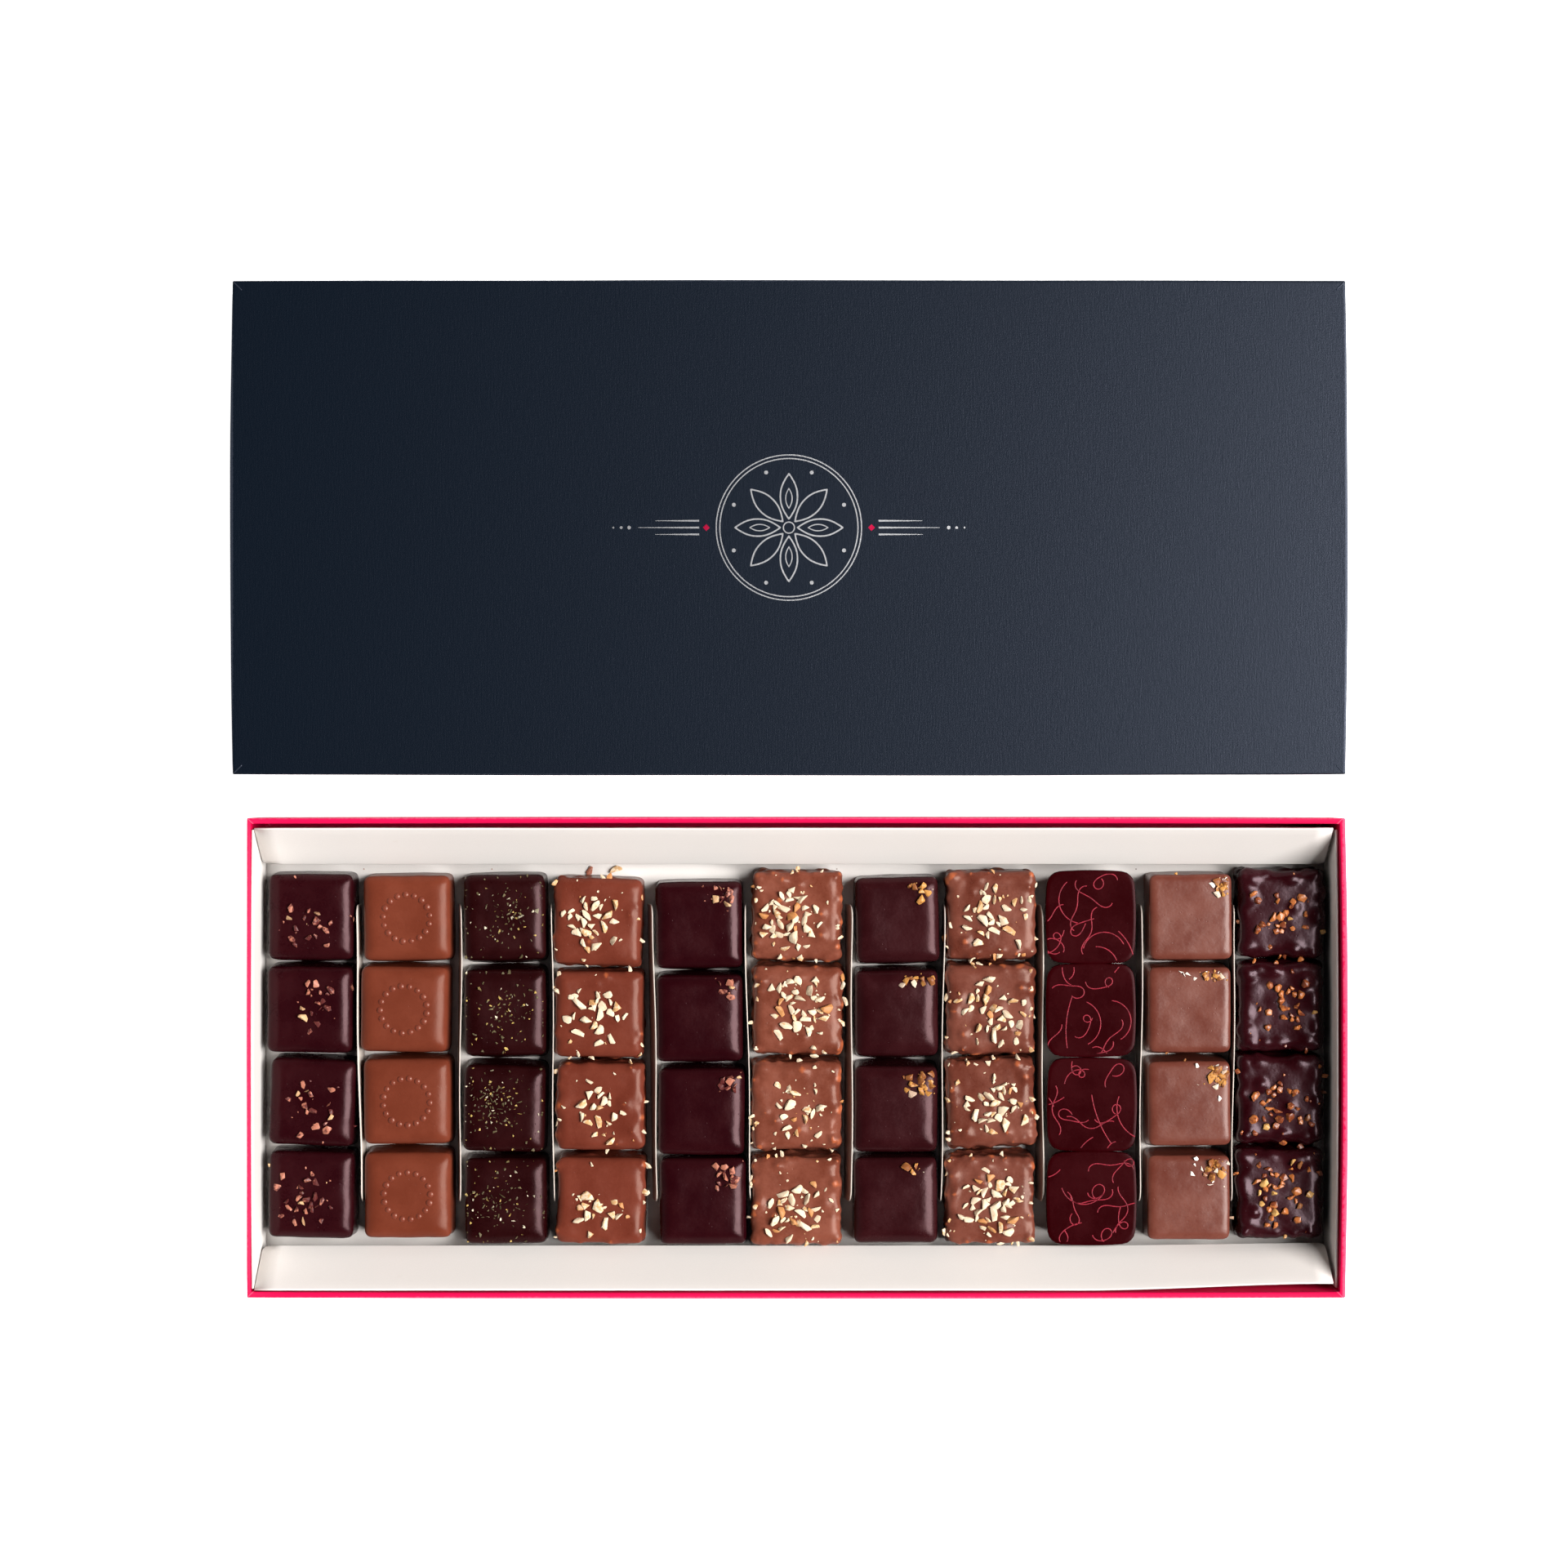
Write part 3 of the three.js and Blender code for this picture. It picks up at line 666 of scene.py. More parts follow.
def coat_profile(run, half, height, edge):
    """How far out and how high the coat is, by the distance along it from the middle of the top."""
    across, down = edge
    turn = (run - half + across) / (across + down) * math.pi / 2
    if turn <= 0:
        return run, height
    if turn < math.pi / 2:
        return half - across * (1 - math.sin(turn)), height - down * (1 - math.cos(turn))
    return half, max(0, height - (run - half))


def on_rounded_square(way, half_x, half_y, corner):
    """Carries a point of the square of side two to a square with rounded corners."""
    point = Vector((way[0] * half_x, way[1] * half_y, 0))
    reach_x, reach_y = half_x - corner, half_y - corner
    core = Vector((max(-reach_x, min(reach_x, point.x)), max(-reach_y, min(reach_y, point.y)), 0))
    out = point - core
    return core + out.normalized() * corner if out.length > 1e-6 else point


def room_around(name, row):
    """Half the gaps from a praline to its neighbours in front and behind, which their feet fill."""
    reach = [END_FLARE, END_FLARE]
    for side, other in enumerate((row + 1, row - 1)):
        if other in ROWS:
            nearer, farther = (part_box(f"{name}_{n}") for n in (max(row, other), min(row, other)))
            reach[side] = (farther[0].y - nearer[1].y) / MM / 2
    return reach


def enrobed_square(size, height, cuts, seed, edge, feet, dome=None, sway=0.16):
    """A square in its coat, standing on z = 0: rounded above, its sides flaring to an uneven foot."""
    chance = random.Random(seed)
    swell = 0.42 * chance.random() - 0.22
    tilt_x, tilt_y = (0.3 * chance.random() - 0.15 for _ in range(2))
    swell = swell if dome is None else dome
    shape = bmesh.new()
    bmesh.ops.create_cube(shape, size=2)
    bmesh.ops.subdivide_edges(shape, edges=shape.edges[:], cuts=cuts, use_grid_fill=True)
    half = min(size) / 2
    start = Vector((3.7 * seed, 1.3 * seed, 0.9 * seed))
    for vert in shape.verts:
        x, y, z = vert.co
        square = max(abs(x), abs(y), 1e-6)
        way = (spread(x / square), spread(y / square))
        under = z < -0.999 and square < 0.999
        side = square > 0.999 and z < 0.999
        run = half + (0.5 - 0.5 * spread(z)) * height if side else spread(square) * half
        out, level = (run, 0) if under else coat_profile(run, half, height, edge)
        grown = out / half
        point = on_rounded_square(way, grown * size[0] / 2, grown * size[1] / 2, grown * COAT_CORNER)
        outward = point.normalized()
        rise = level / height
        lobes = max(0, 0.35 + noise.noise(Vector((point.x, point.y, 0)) / 3.6 + start))
        foot = max(0, 1 - level / 2.2) ** 2 * lobes * (0 if under else 1)
        flare = (1 - rise) ** 1.1 + FOOT * foot
        point += Vector((SIDE_FLARE * outward.x, feet[outward.y > 0] * outward.y, 0)) * flare
        middle = max(0, 1 - (point.x / half) ** 2) * max(0, 1 - (point.y / half) ** 2)
        tilted = tilt_x * point.x / half + tilt_y * point.y / half
        level += rise * rise * (swell * (middle - 0.5) + tilted)
        vert.co = Vector((point.x, point.y, level))
    shape.normal_update()
    for vert in shape.verts:
        if vert.co.z > 0.05:
            vert.co += vert.normal * sway * (
                noise.noise(vert.co / 5.5 + start) + 0.3 * noise.noise(vert.co / 2.2 - start)
            )
    shape.normal_update()
    return shape


LUMPS_AT_SIDES = 0.5  # share of the lumps that lie at the shoulders and sides


def lumps_under(shape, count, width, rise, seed):
    """Pushes up round lumps where nut pieces lie under the coat, and records how high each point stands, for
    the amber glint painted on their crests.
    """
    chance = random.Random(seed)
    # how high each lump stands, which the coat's material uses to paint an amber glint on the crests
    lump_glint = shape.verts.layers.float.new("lump_glint")
    tree = kdtree.KDTree(len(shape.verts))
    for vert in shape.verts:
        tree.insert(vert.co, vert.index)
    tree.balance()
    shape.verts.ensure_lookup_table()
    upper = [vert for vert in shape.verts if vert.co.z > 1.5]
    side = [vert for vert in upper if vert.normal.z < 0.93]
    pushes = {}
    for _ in range(count):
        centre = chance.choice(side if chance.random() < LUMPS_AT_SIDES else upper).co
        radius = width * (0.35 + 0.5 * chance.random())
        lift = rise * (0.5 + 0.6 * chance.random())
        for _, index, distance in tree.find_range(centre, radius):
            push = lift * (1 - (distance / radius) ** 2) ** 1.5
            pushes[index] = max(pushes.get(index, 0), push)
    for index, push in pushes.items():
        vert = shape.verts[index]
        vert.co += vert.normal * push
        vert[lump_glint] = push / rise
    shape.normal_update()


# The sizes of the toppings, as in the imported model: the longest and shortest piece, and its width and
# thickness as shares of its length.
TOPPINGS = {
    "nibs": {"longest": 2.7, "shortest": 1.0, "wide": 0.62, "thick": 0.55},
    "herbs": {"longest": 1.5, "shortest": 0.4, "wide": 0.42, "thick": 0.4},
    "nuts": {"longest": 3.7, "shortest": 0.8, "wide": 0.62, "thick": 0.5},
    "brittle": {"longest": 2.8, "shortest": 0.9, "wide": 0.75, "thick": 0.55},
    "caramel_nuts": {"longest": 2.9, "shortest": 0.9, "wide": 0.75, "thick": 0.62},
}
SHARP_CHOP = 35
SINK = 0.28
ALL_OVER = (0, 0, 0, 15, 15)
STRAY_SIZE = 1.9
CLEAR_OF_EDGE = 1.6


def scatter(kind, patch, size, roll):
    """Where the pieces of topping lie on a praline, the largest first."""
    count, middle_x, middle_y, reach_x, reach_y = patch
    reach = [side / 2 - CLEAR_OF_EDGE for side in size]
    pieces = []
    for number in range(count):
        share = number / count
        usual = kind["longest"] + (kind["shortest"] - kind["longest"]) * share**0.7
        long = usual * (0.85 + 0.3 * roll())
        for _ in range(14):
            x = middle_x + reach_x * (roll() + roll() - 1)
            y = middle_y + reach_y * (roll() + roll() - 1)
            inside = abs(x) < reach[0] and abs(y) < reach[1]
            if inside and all(math.hypot(p["x"] - x, p["y"] - y) > 0.42 * (p["long"] + long) for p in pieces):
                break
        x, y = max(-reach[0], min(reach[0], x)), max(-reach[1], min(reach[1], y))
        wide = long * kind["wide"] * (0.8 + 0.4 * roll())
        thick = long * kind["thick"] * (0.8 + 0.4 * roll())
        turn, tilt = 2 * math.pi * roll(), 0.5 * (roll() - 0.5)
        piece = {"x": x, "y": y, "long": long, "wide": wide, "thick": thick}
        pieces.append({**piece, "turn": turn, "tilt": tilt})
    return pieces


def chopped_shapes(name, corners, soft):
    """A few chopped pieces, one across, as hulls of random corners with their edges taken off."""
    chance = random.Random(name)
    shapes = []
    for number in range(12):
        shape = bmesh.new()
        for _ in range(corners):
            way = Vector((chance.gauss(0, 1), chance.gauss(0, 1), chance.gauss(0, 1))).normalized()
            shape.verts.new(way * 0.5 * (0.8 + 0.25 * chance.random()))
        bmesh.ops.convex_hull(shape, input=shape.verts[:])
        bmesh.ops.delete(shape, geom=[v for v in shape.verts if not v.link_faces], context="VERTS")
        bmesh.ops.bevel(
            shape, geom=shape.edges[:], offset=soft, affect="EDGES", segments=1, profile=0.5, material=-1,
            clamp_overlap=True,
        )
        mesh = bpy.data.meshes.new(f"{name}_{number}")
        shape.to_mesh(mesh)
        shape.free()
        shapes.append(mesh)
    return shapes


class Topping:
    """All pieces of one kind of topping in the box, gathered into one mesh."""

    def __init__(self, name, corners, soft, least, grown):
        """least and grown give a piece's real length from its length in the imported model."""
        self.name = name
        self.least, self.grown = least, grown
        self.mesh = bmesh.new()
        self.tint = self.mesh.verts.layers.float.new("tint")
        self.shapes = chopped_shapes(name, corners, soft)
        self.chance = random.Random(name)

    def add(self, place, long, wide, thick, turn, tilt, matrix=None):
        """One piece, its middle at a place in the frame of a praline that matrix puts in the box."""
        first = len(self.mesh.verts)
        self.mesh.from_mesh(self.chance.choice(self.shapes))
        self.mesh.verts.ensure_lookup_table()
        verts = self.mesh.verts[first:]
        laid = Matrix.Translation(place) @ Matrix.Rotation(turn, 4, "Z") @ Matrix.Rotation(tilt, 4, "Y")
        laid = (matrix or Matrix()) @ laid @ Matrix.Diagonal((long, wide, thick, 1))
        bmesh.ops.transform(self.mesh, matrix=laid, verts=verts)
        tint = self.chance.random()
        for vert in verts:
            vert[self.tint] = tint

    def finish(self, finish, slot):
        for mesh in self.shapes:
            bpy.data.meshes.remove(mesh)
        make_piece(self.name, self.mesh, finish, slot, sharp=SHARP_CHOP)


def praline_frame(name, turn):
    """The matrix that puts a praline's own frame where the CAD solid stands."""
    low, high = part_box(name)
    middle = (low + high) / 2 / MM
    place = Matrix.Translation((middle.x, middle.y, low.z / MM))
    return place @ Matrix.Rotation(math.radians(turn), 4, "Z")


def enrobed_column(
    column, name, size, turns, finish, edge=USUAL_EDGE, domes=(None,) * 4, cuts=17, topping=None,
    patches=None, lumps=None, crumbs=0, dust=0, strays=0, on_sides=0, decorate=None,
):
    """The four pralines of one kind and their topping. crumbs to on_sides count extra bits on each."""
    for row in ROWS:
        roll = dice(1000 * column + 37 * row)
        sides = [side - 0.4 * roll() for side in size]
        height = PRALINE_HEIGHT - 0.5 * roll()
        seed = 10 * column + row
        rough = lumps is not None
        sway = 0.28 if rough else 0.16
        core, feet = height - (0.15 if rough else 0), room_around(name, row)
        shape = enrobed_square(sides, core, cuts, seed, edge, feet, domes[row - 1], sway)
        if rough:
            lumps_under(shape, *lumps, seed)
        matrix = praline_frame(f"{name}_{row}", turns[row - 1])
        body = BVHTree.FromBMesh(shape)
        if topping:
            patch = patches[row - 1]
            strew(topping, body, scatter(TOPPINGS[topping.name], patch, sides, roll), matrix)
            strew(topping, body, crumbs_over(patch, crumbs, sides, seed), matrix, True)
            strew(topping, body, crumbs_over(ALL_OVER, dust, sides, seed + 70), matrix, True)
            bits = crumbs_over(ALL_OVER, strays, sides, seed + 90, STRAY_SIZE)
            strew(topping, body, bits, matrix, True)
            stick_on_sides(topping, body, on_sides, sides, height, seed, matrix)
        if decorate:
            decorate(row, body, matrix)
        bmesh.ops.transform(shape, matrix=matrix, verts=shape.verts)
        made = make_piece(f"praline_{name}_{row}", shape, finish, name, f"{name}_{row}")
        softer = made.modifiers.new("soft coat", "SUBSURF")
        softer.levels = softer.render_levels = 1


def strew(topping, body, pieces, matrix, as_is=False):
    """Lays pieces of topping on the top of a praline."""
    for p in pieces:
        hit = body.ray_cast(Vector((p["x"], p["y"], 30)), Vector((0, 0, -1)))[0]
        if hit:
            long = p["long"] if as_is else topping.least + topping.grown * p["long"]
            wide, thick = 1.15 * long * p["wide"] / p["long"], long * p["thick"] / p["long"]
            place = Vector((p["x"], p["y"], hit.z + thick * (0.5 - SINK)))
            topping.add(place, long, wide, thick, p["turn"], p["tilt"], matrix)


def crumbs_over(patch, count, sides, seed, grown=1.0):
    """Small broken bits over and around a patch of topping."""
    chance = random.Random(seed)
    _, middle_x, middle_y, reach_x, reach_y = patch
    crumbs = []
    for _ in range(count):
        x = max(-0.47 * sides[0], min(0.47 * sides[0], chance.gauss(middle_x, 0.6 * reach_x)))
        y = max(-0.47 * sides[1], min(0.47 * sides[1], chance.gauss(middle_y, 0.6 * reach_y)))
        long = grown * (0.45 + chance.random() ** 2)
        crumb = {"x": x, "y": y, "long": long, "wide": 0.7 * long, "thick": 0.5 * long}
        crumbs.append({**crumb, "turn": 2 * math.pi * chance.random(), "tilt": chance.random() - 0.5})
    return crumbs


def stick_on_sides(topping, body, count, sides, height, seed, matrix):
    """Pieces that stuck to the coat where it runs down the sides."""
    chance = random.Random(seed + 500)
    for _ in range(count):
        angle = chance.choice((0, 0.5, 1, 1.5)) * math.pi
        way = Vector((round(math.cos(angle)), round(math.sin(angle)), 0))
        along = Vector((-way.y, way.x, 0)) * (chance.random() - 0.5) * 0.88 * min(sides)
        start = way * 20 + along + Vector((0, 0, height - 0.9 - 1.5 * chance.random()))
        hit = body.ray_cast(start, -way)[0]
        long = 1.5 + 1.7 * chance.random()
        if hit:
            turn, tilt = 2 * math.pi * chance.random(), chance.random() - 0.5
            topping.add(hit + way * 0.12 * long, long, 0.7 * long, 0.6 * long, turn, tilt, matrix)


def topping_finish(name, flesh, skin, darkest, share, roughness, specular):
    """Chopped food: pale flesh with darker skin or roast patches, each piece of its own tint."""
    finish, tree, shader, place = finish_for(name, roughness, specular)
    tint = node(tree, "ShaderNodeAttribute", attribute_name="tint").outputs["Fac"]
    patches = noise_node(tree, place, 850.0, 3.0, 0.6)
    browned = math_node(tree, "MULTIPLY_ADD", tint, 0.5, math_node(tree, "SUBTRACT", patches, 0.25))
    tone = mix_colour(tree, smooth_step(tree, browned, share, share + 0.18), flesh, skin)
    tone = mix_colour(tree, smooth_step(tree, tint, 0.86, 0.96), tone, darkest)
    grain = noise_node(tree, place, 2200.0, 3.0, 0.65)
    tone = mix_colour(tree, math_node(tree, "MULTIPLY", grain, 0.2), tone, skin)
    connect(tree, shader, tone, height=math_node(tree, "ADD", grain, patches), bump=0.08)
    return finish


# First column: dark squares with coarse cocoa nibs pressed into the coat before it set.
cocoa_nibs = Topping("nibs", 9, 0.03, 1.1, 0.95)
DARK = {"deep": (32, 3, 7), "pale": (39, 7, 11), "specular": 0.19}
enrobed_column(
    1, "nib_dark", (23.9, 24.1), (0, -0.6, -2.4, -0.8),
    chocolate("dark coat", gloss=0.28, **DARK), SOFT_EDGE,
    topping=cocoa_nibs, crumbs=8, on_sides=1,
    patches=((15, -1, -3, 9, 7), (15, 3, 1, 7, 9), (17, 0, -2, 9, 9), (24, -1, -1, 9, 9)),
)

# Second column: plain milk squares with a ring of small dots of the same chocolate, printed into the coat
# by a texture sheet.
RING_RADIUS = 6.6
RING_DOTS = 17
ring_dots = bmesh.new()


def ring_of_dots(row, body, matrix):
    chance = random.Random(row)
    for number in range(RING_DOTS):
        angle = 2 * math.pi * (number + 0.3 * row) / RING_DOTS
        size = 0.76 + 0.2 * chance.random()
        x, y = RING_RADIUS * math.cos(angle), RING_RADIUS * math.sin(angle)
        top = body.ray_cast(Vector((x, y, 30)), Vector((0, 0, -1)))[0]
        laid = matrix @ Matrix.Translation(top) @ Matrix.Diagonal((size, size, 0.45 * size, 1))
        bmesh.ops.create_icosphere(ring_dots, subdivisions=3, radius=1, matrix=laid)


enrobed_column(
    2, "ring_milk", (24.4, 24.0), (0.8, -0.8, 0.4, 0),
    chocolate("milk coat", (97, 43, 28), (106, 49, 33), 0.33, 0.16, sheen=MILK_SHEEN), SOFT_EDGE,
    decorate=ring_of_dots,
)
RING_COAT = chocolate("ring dots", (106, 49, 35), (114, 55, 40), 0.3, 0.4, sheen=MILK_SHEEN)
make_piece("ring_dots", ring_dots, RING_COAT, "ring_milk")

# Third column: dark squares with a pinch of dried herb and citrus peel, cream, yellow and grey green.
herb_flecks = Topping("herbs", 6, 0.03, 0.35, 1.25)
enrobed_column(
    3, "herb_dark", (22.9, 24.0), (0.8, 0.4, -1.2, 0.4),
    chocolate("herb square coat", (27, 3, 4), (35, 7, 8), 0.29, 0.17), SOFT_EDGE,
    topping=herb_flecks, crumbs=26, dust=34, strays=15,
    patches=((46, 0, 0, 10, 10), (52, 1, 0, 10, 9), (90, -3, 1, 8, 8), (56, -2, -1, 9, 10)),
)

# Fourth column: milk squares with coarsely chopped roasted nuts, and a few nut pieces under the coat.
chopped_nuts = Topping("nuts", 10, 0.04, 1.7, 0.85)
enrobed_column(
    4, "nut_milk", (24.4, 24.2), (-1.8, -0.5, 0.5, -1),
    chocolate("nut square coat", (92, 39, 27), (103, 47, 34), 0.3, 0.18, sheen=MILK_SHEEN, lump_glint=0.6),
    cuts=22,
    topping=chopped_nuts, lumps=(26, 3.0, 0.7), crumbs=8, strays=6, on_sides=6,
    patches=((26, -2, 0, 9, 9), (24, -1, 0, 9, 9), (18, 0, -1, 8, 10), (13, -2, -2, 9, 9)),
)

# Fifth column: smooth dark squares with cocoa nibs at the back right corner.
enrobed_column(
    5, "corner_nib_dark", (24.3, 24.3), (0.8, 0.4, -0.4, 0.4),
    chocolate("smooth dark coat", gloss=0.26, **DARK), SOFT_EDGE, topping=cocoa_nibs, crumbs=6,
    patches=((10, 7, 8, 4, 3), (6, 8, 9, 3, 3), (8, 8, 8.5, 3, 3), (14, 7, 7, 4, 3.5)),
)

# Sixth column: milk squares over a crunchy filling that makes the coat lumpy, with chopped almonds.
enrobed_column(
    6, "crunch_milk", (24.6, 24.4), (-0.5, -1, 0.8, 0),
    chocolate("crunch coat", (98, 47, 33), (120, 66, 51), 0.3, 0.21, sheen=MILK_SHEEN, lump_glint=0.65), cuts=26,
    topping=chopped_nuts, lumps=(80, 3.0, 0.8), crumbs=18, strays=13, on_sides=9,
    patches=((38, -2, 0, 9, 9), (32, 1, 1, 10, 10), (16, 0, 0, 9, 9), (28, -1, -2, 9, 9)),
)

# Seventh column: smooth dark squares with golden brittle at the back right corner.
golden_brittle = Topping("brittle", 9, 0.03, 1.1, 0.95)
enrobed_column(
    7, "corner_brittle_dark", (23.4, 24.0), (1.4, 0.4, -0.4, 0.4),
    chocolate("brittle square coat", (36, 7, 10), (45, 14, 17), 0.27, 0.18), SOFT_EDGE,
    (-0.35, 0.5, 0.25, 0.2), topping=golden_brittle, crumbs=5,
    patches=((6, 7, 8, 3.5, 3), (9, 6, 9, 5, 2), (14, 7, 7.5, 4.5, 3.5), (3, 5, 9.5, 3, 1.5)),
)

# Eighth column: milk squares over a hazelnut crunch, lumpier at their edges, with chopped hazelnuts.
enrobed_column(
    8, "crunch_nut_milk", (24.3, 24.2), (0.5, -0.5, 2.4, 0.5),
    chocolate("hazelnut coat", (87, 40, 29), (109, 60, 48), 0.3, 0.23, sheen=MILK_SHEEN, lump_glint=0.65), cuts=26,
    topping=chopped_nuts, lumps=(110, 2.8, 0.8), crumbs=16, strays=14, on_sides=8,
    patches=((26, 1, 0, 10, 10), (30, 1, -1, 9, 10), (28, 1, -1, 9, 9), (40, 0, -1, 9, 10)),
)

# Ninth column: barrel-sided dark pralines under a flat glossy plate, printed with thin red curls of cocoa
# butter from a transfer sheet.
PLATE_CORNER = 3.2
SHARP_PLATE = 40
PLATE_BULGE = 0.7
STROKE_STEPS = 54
STROKE_STEP = 0.28
STROKE_LINE = 0.16
STROKES = 12
PLATE_RINGS = (
    (0, 1.3), (0.3, 1.1), (-2.9, 0.95), (-2.3, 0.7), (-1.8, 0.25), (-1.4, 0.05), (-1.1, 0), (-0.3, 0.05),
    (-0.08, 0.14), (0, 0.34), (0, 1.0),
)  # height above the foot, or below the top where negative or last, and inset


def plated_barrel(sides, height):
    """A praline that widens to a flat plate, a square with rounded corners and bulging sides."""
    shape = bmesh.new()
    ring = bmesh.ops.create_circle(shape, segments=80, radius=1, cap_ends=True)["verts"]
    ways = {vert: vert.co / max(abs(vert.co.x), abs(vert.co.y)) for vert in ring}
    edges = edges_of(ring)
    for number, (level, inset) in enumerate(PLATE_RINGS):
        z = level if number < 2 else height + level
        if number:
            made = bmesh.ops.extrude_edge_only(shape, edges=edges)["geom"]
            edges = [part for part in made if isinstance(part, bmesh.types.BMEdge)]
            above = [part for part in made if isinstance(part, bmesh.types.BMVert)]
            nearest = {vert: min(ways, key=lambda old: (old.co - vert.co).length_squared) for vert in above}
            ways = {vert: ways[old] for vert, old in nearest.items()}
        for vert, way in ways.items():
            half_x, half_y = sides[0] / 2 - PLATE_BULGE - inset, sides[1] / 2 - PLATE_BULGE - inset
            flat = on_rounded_square(way, half_x, half_y, PLATE_CORNER)
            flat.x += PLATE_BULGE * flat.x / half_x * (1 - (flat.y / half_y) ** 2)
            flat.y += PLATE_BULGE * flat.y / half_y * (1 - (flat.x / (half_x + PLATE_BULGE)) ** 2)
            vert.co = Vector((flat.x, flat.y, z))
    bmesh.ops.contextual_create(shape, geom=edges)
    bmesh.ops.recalc_face_normals(shape, faces=shape.faces)
    return shape


def printed_curls(half, seed):
    """Short loose strokes of a thin line, sweeps, swings and loops, cut off at the edge of the plate."""
    chance = random.Random(seed)
    curve = bpy.data.curves.new("curls", "CURVE")
    curve.dimensions = "3D"
    curve.bevel_depth = STROKE_LINE
    curve.bevel_resolution = 1
    for cell in range(STROKES):
        x = (cell % 3 - 1) * 0.6 * half + 4 * (chance.random() - 0.5)
        y = (cell // 3 - 1.5) * 0.5 * half + 3 * (chance.random() - 0.5)
        heading, way = 2 * math.pi * chance.random(), chance.choice((-1, 1))
        sweep, loop = 0.25 * chance.random(), chance.choice((0, 0, 0.8, 1.0))
        middle, swing = 0.3 + 0.4 * chance.random(), chance.choice((0, 0.35))
        line = curve.splines.new("POLY")
        line.points.add(STROKE_STEPS - 1)
        for number, point in enumerate(line.points):
            share = number / STROKE_STEPS
            point.co = (x, y, 0, 1)
            looped = loop * math.exp(-(((share - middle) / 0.18) ** 2))
            bend = sweep + looped + swing * math.cos(2 * math.pi * share)
            heading += way * STROKE_STEP * bend
            x, y = x + STROKE_STEP * math.cos(heading), y + STROKE_STEP * math.sin(heading)
    holder = bpy.data.objects.new("curls", curve)
    mesh = bpy.data.meshes.new_from_object(holder)
    shape = bmesh.new()
    shape.from_mesh(mesh)
    bpy.data.objects.remove(holder)
    bpy.data.curves.remove(curve)
    bpy.data.meshes.remove(mesh)
    bmesh.ops.scale(shape, vec=(1, 1, 0.15), verts=shape.verts)
    for number in range(8):
        side = Vector((math.cos(number * math.pi / 4), math.sin(number * math.pi / 4), 0))
        reach = half if number % 2 == 0 else (half - PLATE_CORNER) * math.sqrt(2) + PLATE_CORNER
        geometry = shape.verts[:] + shape.edges[:] + shape.faces[:]
        bmesh.ops.bisect_plane(shape, geom=geometry, plane_co=side * reach, plane_no=side, clear_outer=True)
    return shape


PLATE_COAT = chocolate("printed plate", (34, 0, 2), (42, 2, 5), 0.28, 0.06, bump=0.015)
print_finish, print_tree, print_shader, print_place = finish_for("red print", 0.4, 0.25)
worn_print = smooth_step(print_tree, noise_node(print_tree, print_place, 700.0, 3.0, 0.7), 0.3, 0.6)
print_tone = mix_colour(print_tree, worn_print, srgb(96, 12, 28), srgb(142, 24, 44))
connect(print_tree, print_shader, print_tone)
for row, turn in zip(ROWS, (0, 0.5, -0.5, 0)):
    roll = dice(9000 + 37 * row)
    sides = [side - 0.4 * roll() for side in (25.6, 26.8)]
    height = PRALINE_HEIGHT - 0.5 * roll()
    matrix = praline_frame(f"printed_dark_{row}", turn)
    plate = plated_barrel(sides, height)
    bmesh.ops.transform(plate, matrix=matrix, verts=plate.verts)
    name = f"printed_dark_{row}"
    make_piece(f"praline_{name}", plate, PLATE_COAT, "printed_dark", name, sharp=SHARP_PLATE)
    curls = printed_curls(sides[0] / 2 - 0.6, 40 + row)
    on_top = matrix @ Matrix.Translation((0, 0, height + 0.005))
    bmesh.ops.transform(curls, matrix=on_top, verts=curls.verts)
    make_piece(f"print_{row}", curls, print_finish, "red_print")

# Tenth column: pale milk squares with golden flakes and white slivers at the back right corner.
white_slivers = Topping("slivers", 8, 0.02, 0, 1)
SLIVERS = {1: (5, 9, 9, 2.5, 2.5), 2: (7, 2, 9.5, 6, 1.6), 3: (12, 6, 8, 5, 4), 4: (12, 5.5, 8, 5, 4)}


def lay_slivers(row, body, matrix):
    laid = crumbs_over(SLIVERS[row], SLIVERS[row][0], (23, 23), 600 + row)
    for sliver in laid:
        sliver["long"] *= 2.3
        sliver["wide"], sliver["thick"] = 0.5 * sliver["long"], 0.25 * sliver["long"]
    strew(white_slivers, body, laid, matrix, True)


enrobed_column(
    10, "corner_flake_milk", (23.2, 24.0), (0.5, 0, 0.5, 0),
    chocolate("pale milk coat", (90, 42, 32), (103, 55, 44), 0.32, 0.3, sheen=(1, 0.9, 0.86, 1)), CRISP_EDGE,
    topping=golden_brittle, crumbs=18, on_sides=1, decorate=lay_slivers,
    patches=((9, 9, 8.5, 2, 3), (5, 7, 9.5, 4, 1.5), (16, 8, 8, 3, 3.5), (10, 7.5, 8.5, 3, 3)),
)

# Eleventh column: dark squares, lumpy all over, with nut pieces in glossy brown caramel.
caramel_nuts = Topping("caramel_nuts", 12, 0.07, 1.2, 0.8)
enrobed_column(
    11, "caramel_dark", (23.3, 23.9), (-0.8, 0.4, -0.4, 0.8),
    chocolate("lumpy dark coat", (30, 1, 4), (42, 9, 14), 0.25, 0.23, sheen=(1, 0.76, 0.86, 1)), cuts=26,
    topping=caramel_nuts, lumps=(64, 4.6, 1.05), crumbs=6, strays=4, on_sides=4,
    patches=((20, -1, 0, 9, 8), (20, 1, 0, 9, 9), (26, 0, -3, 9, 8), (34, 1, 0, 9, 10)),
)

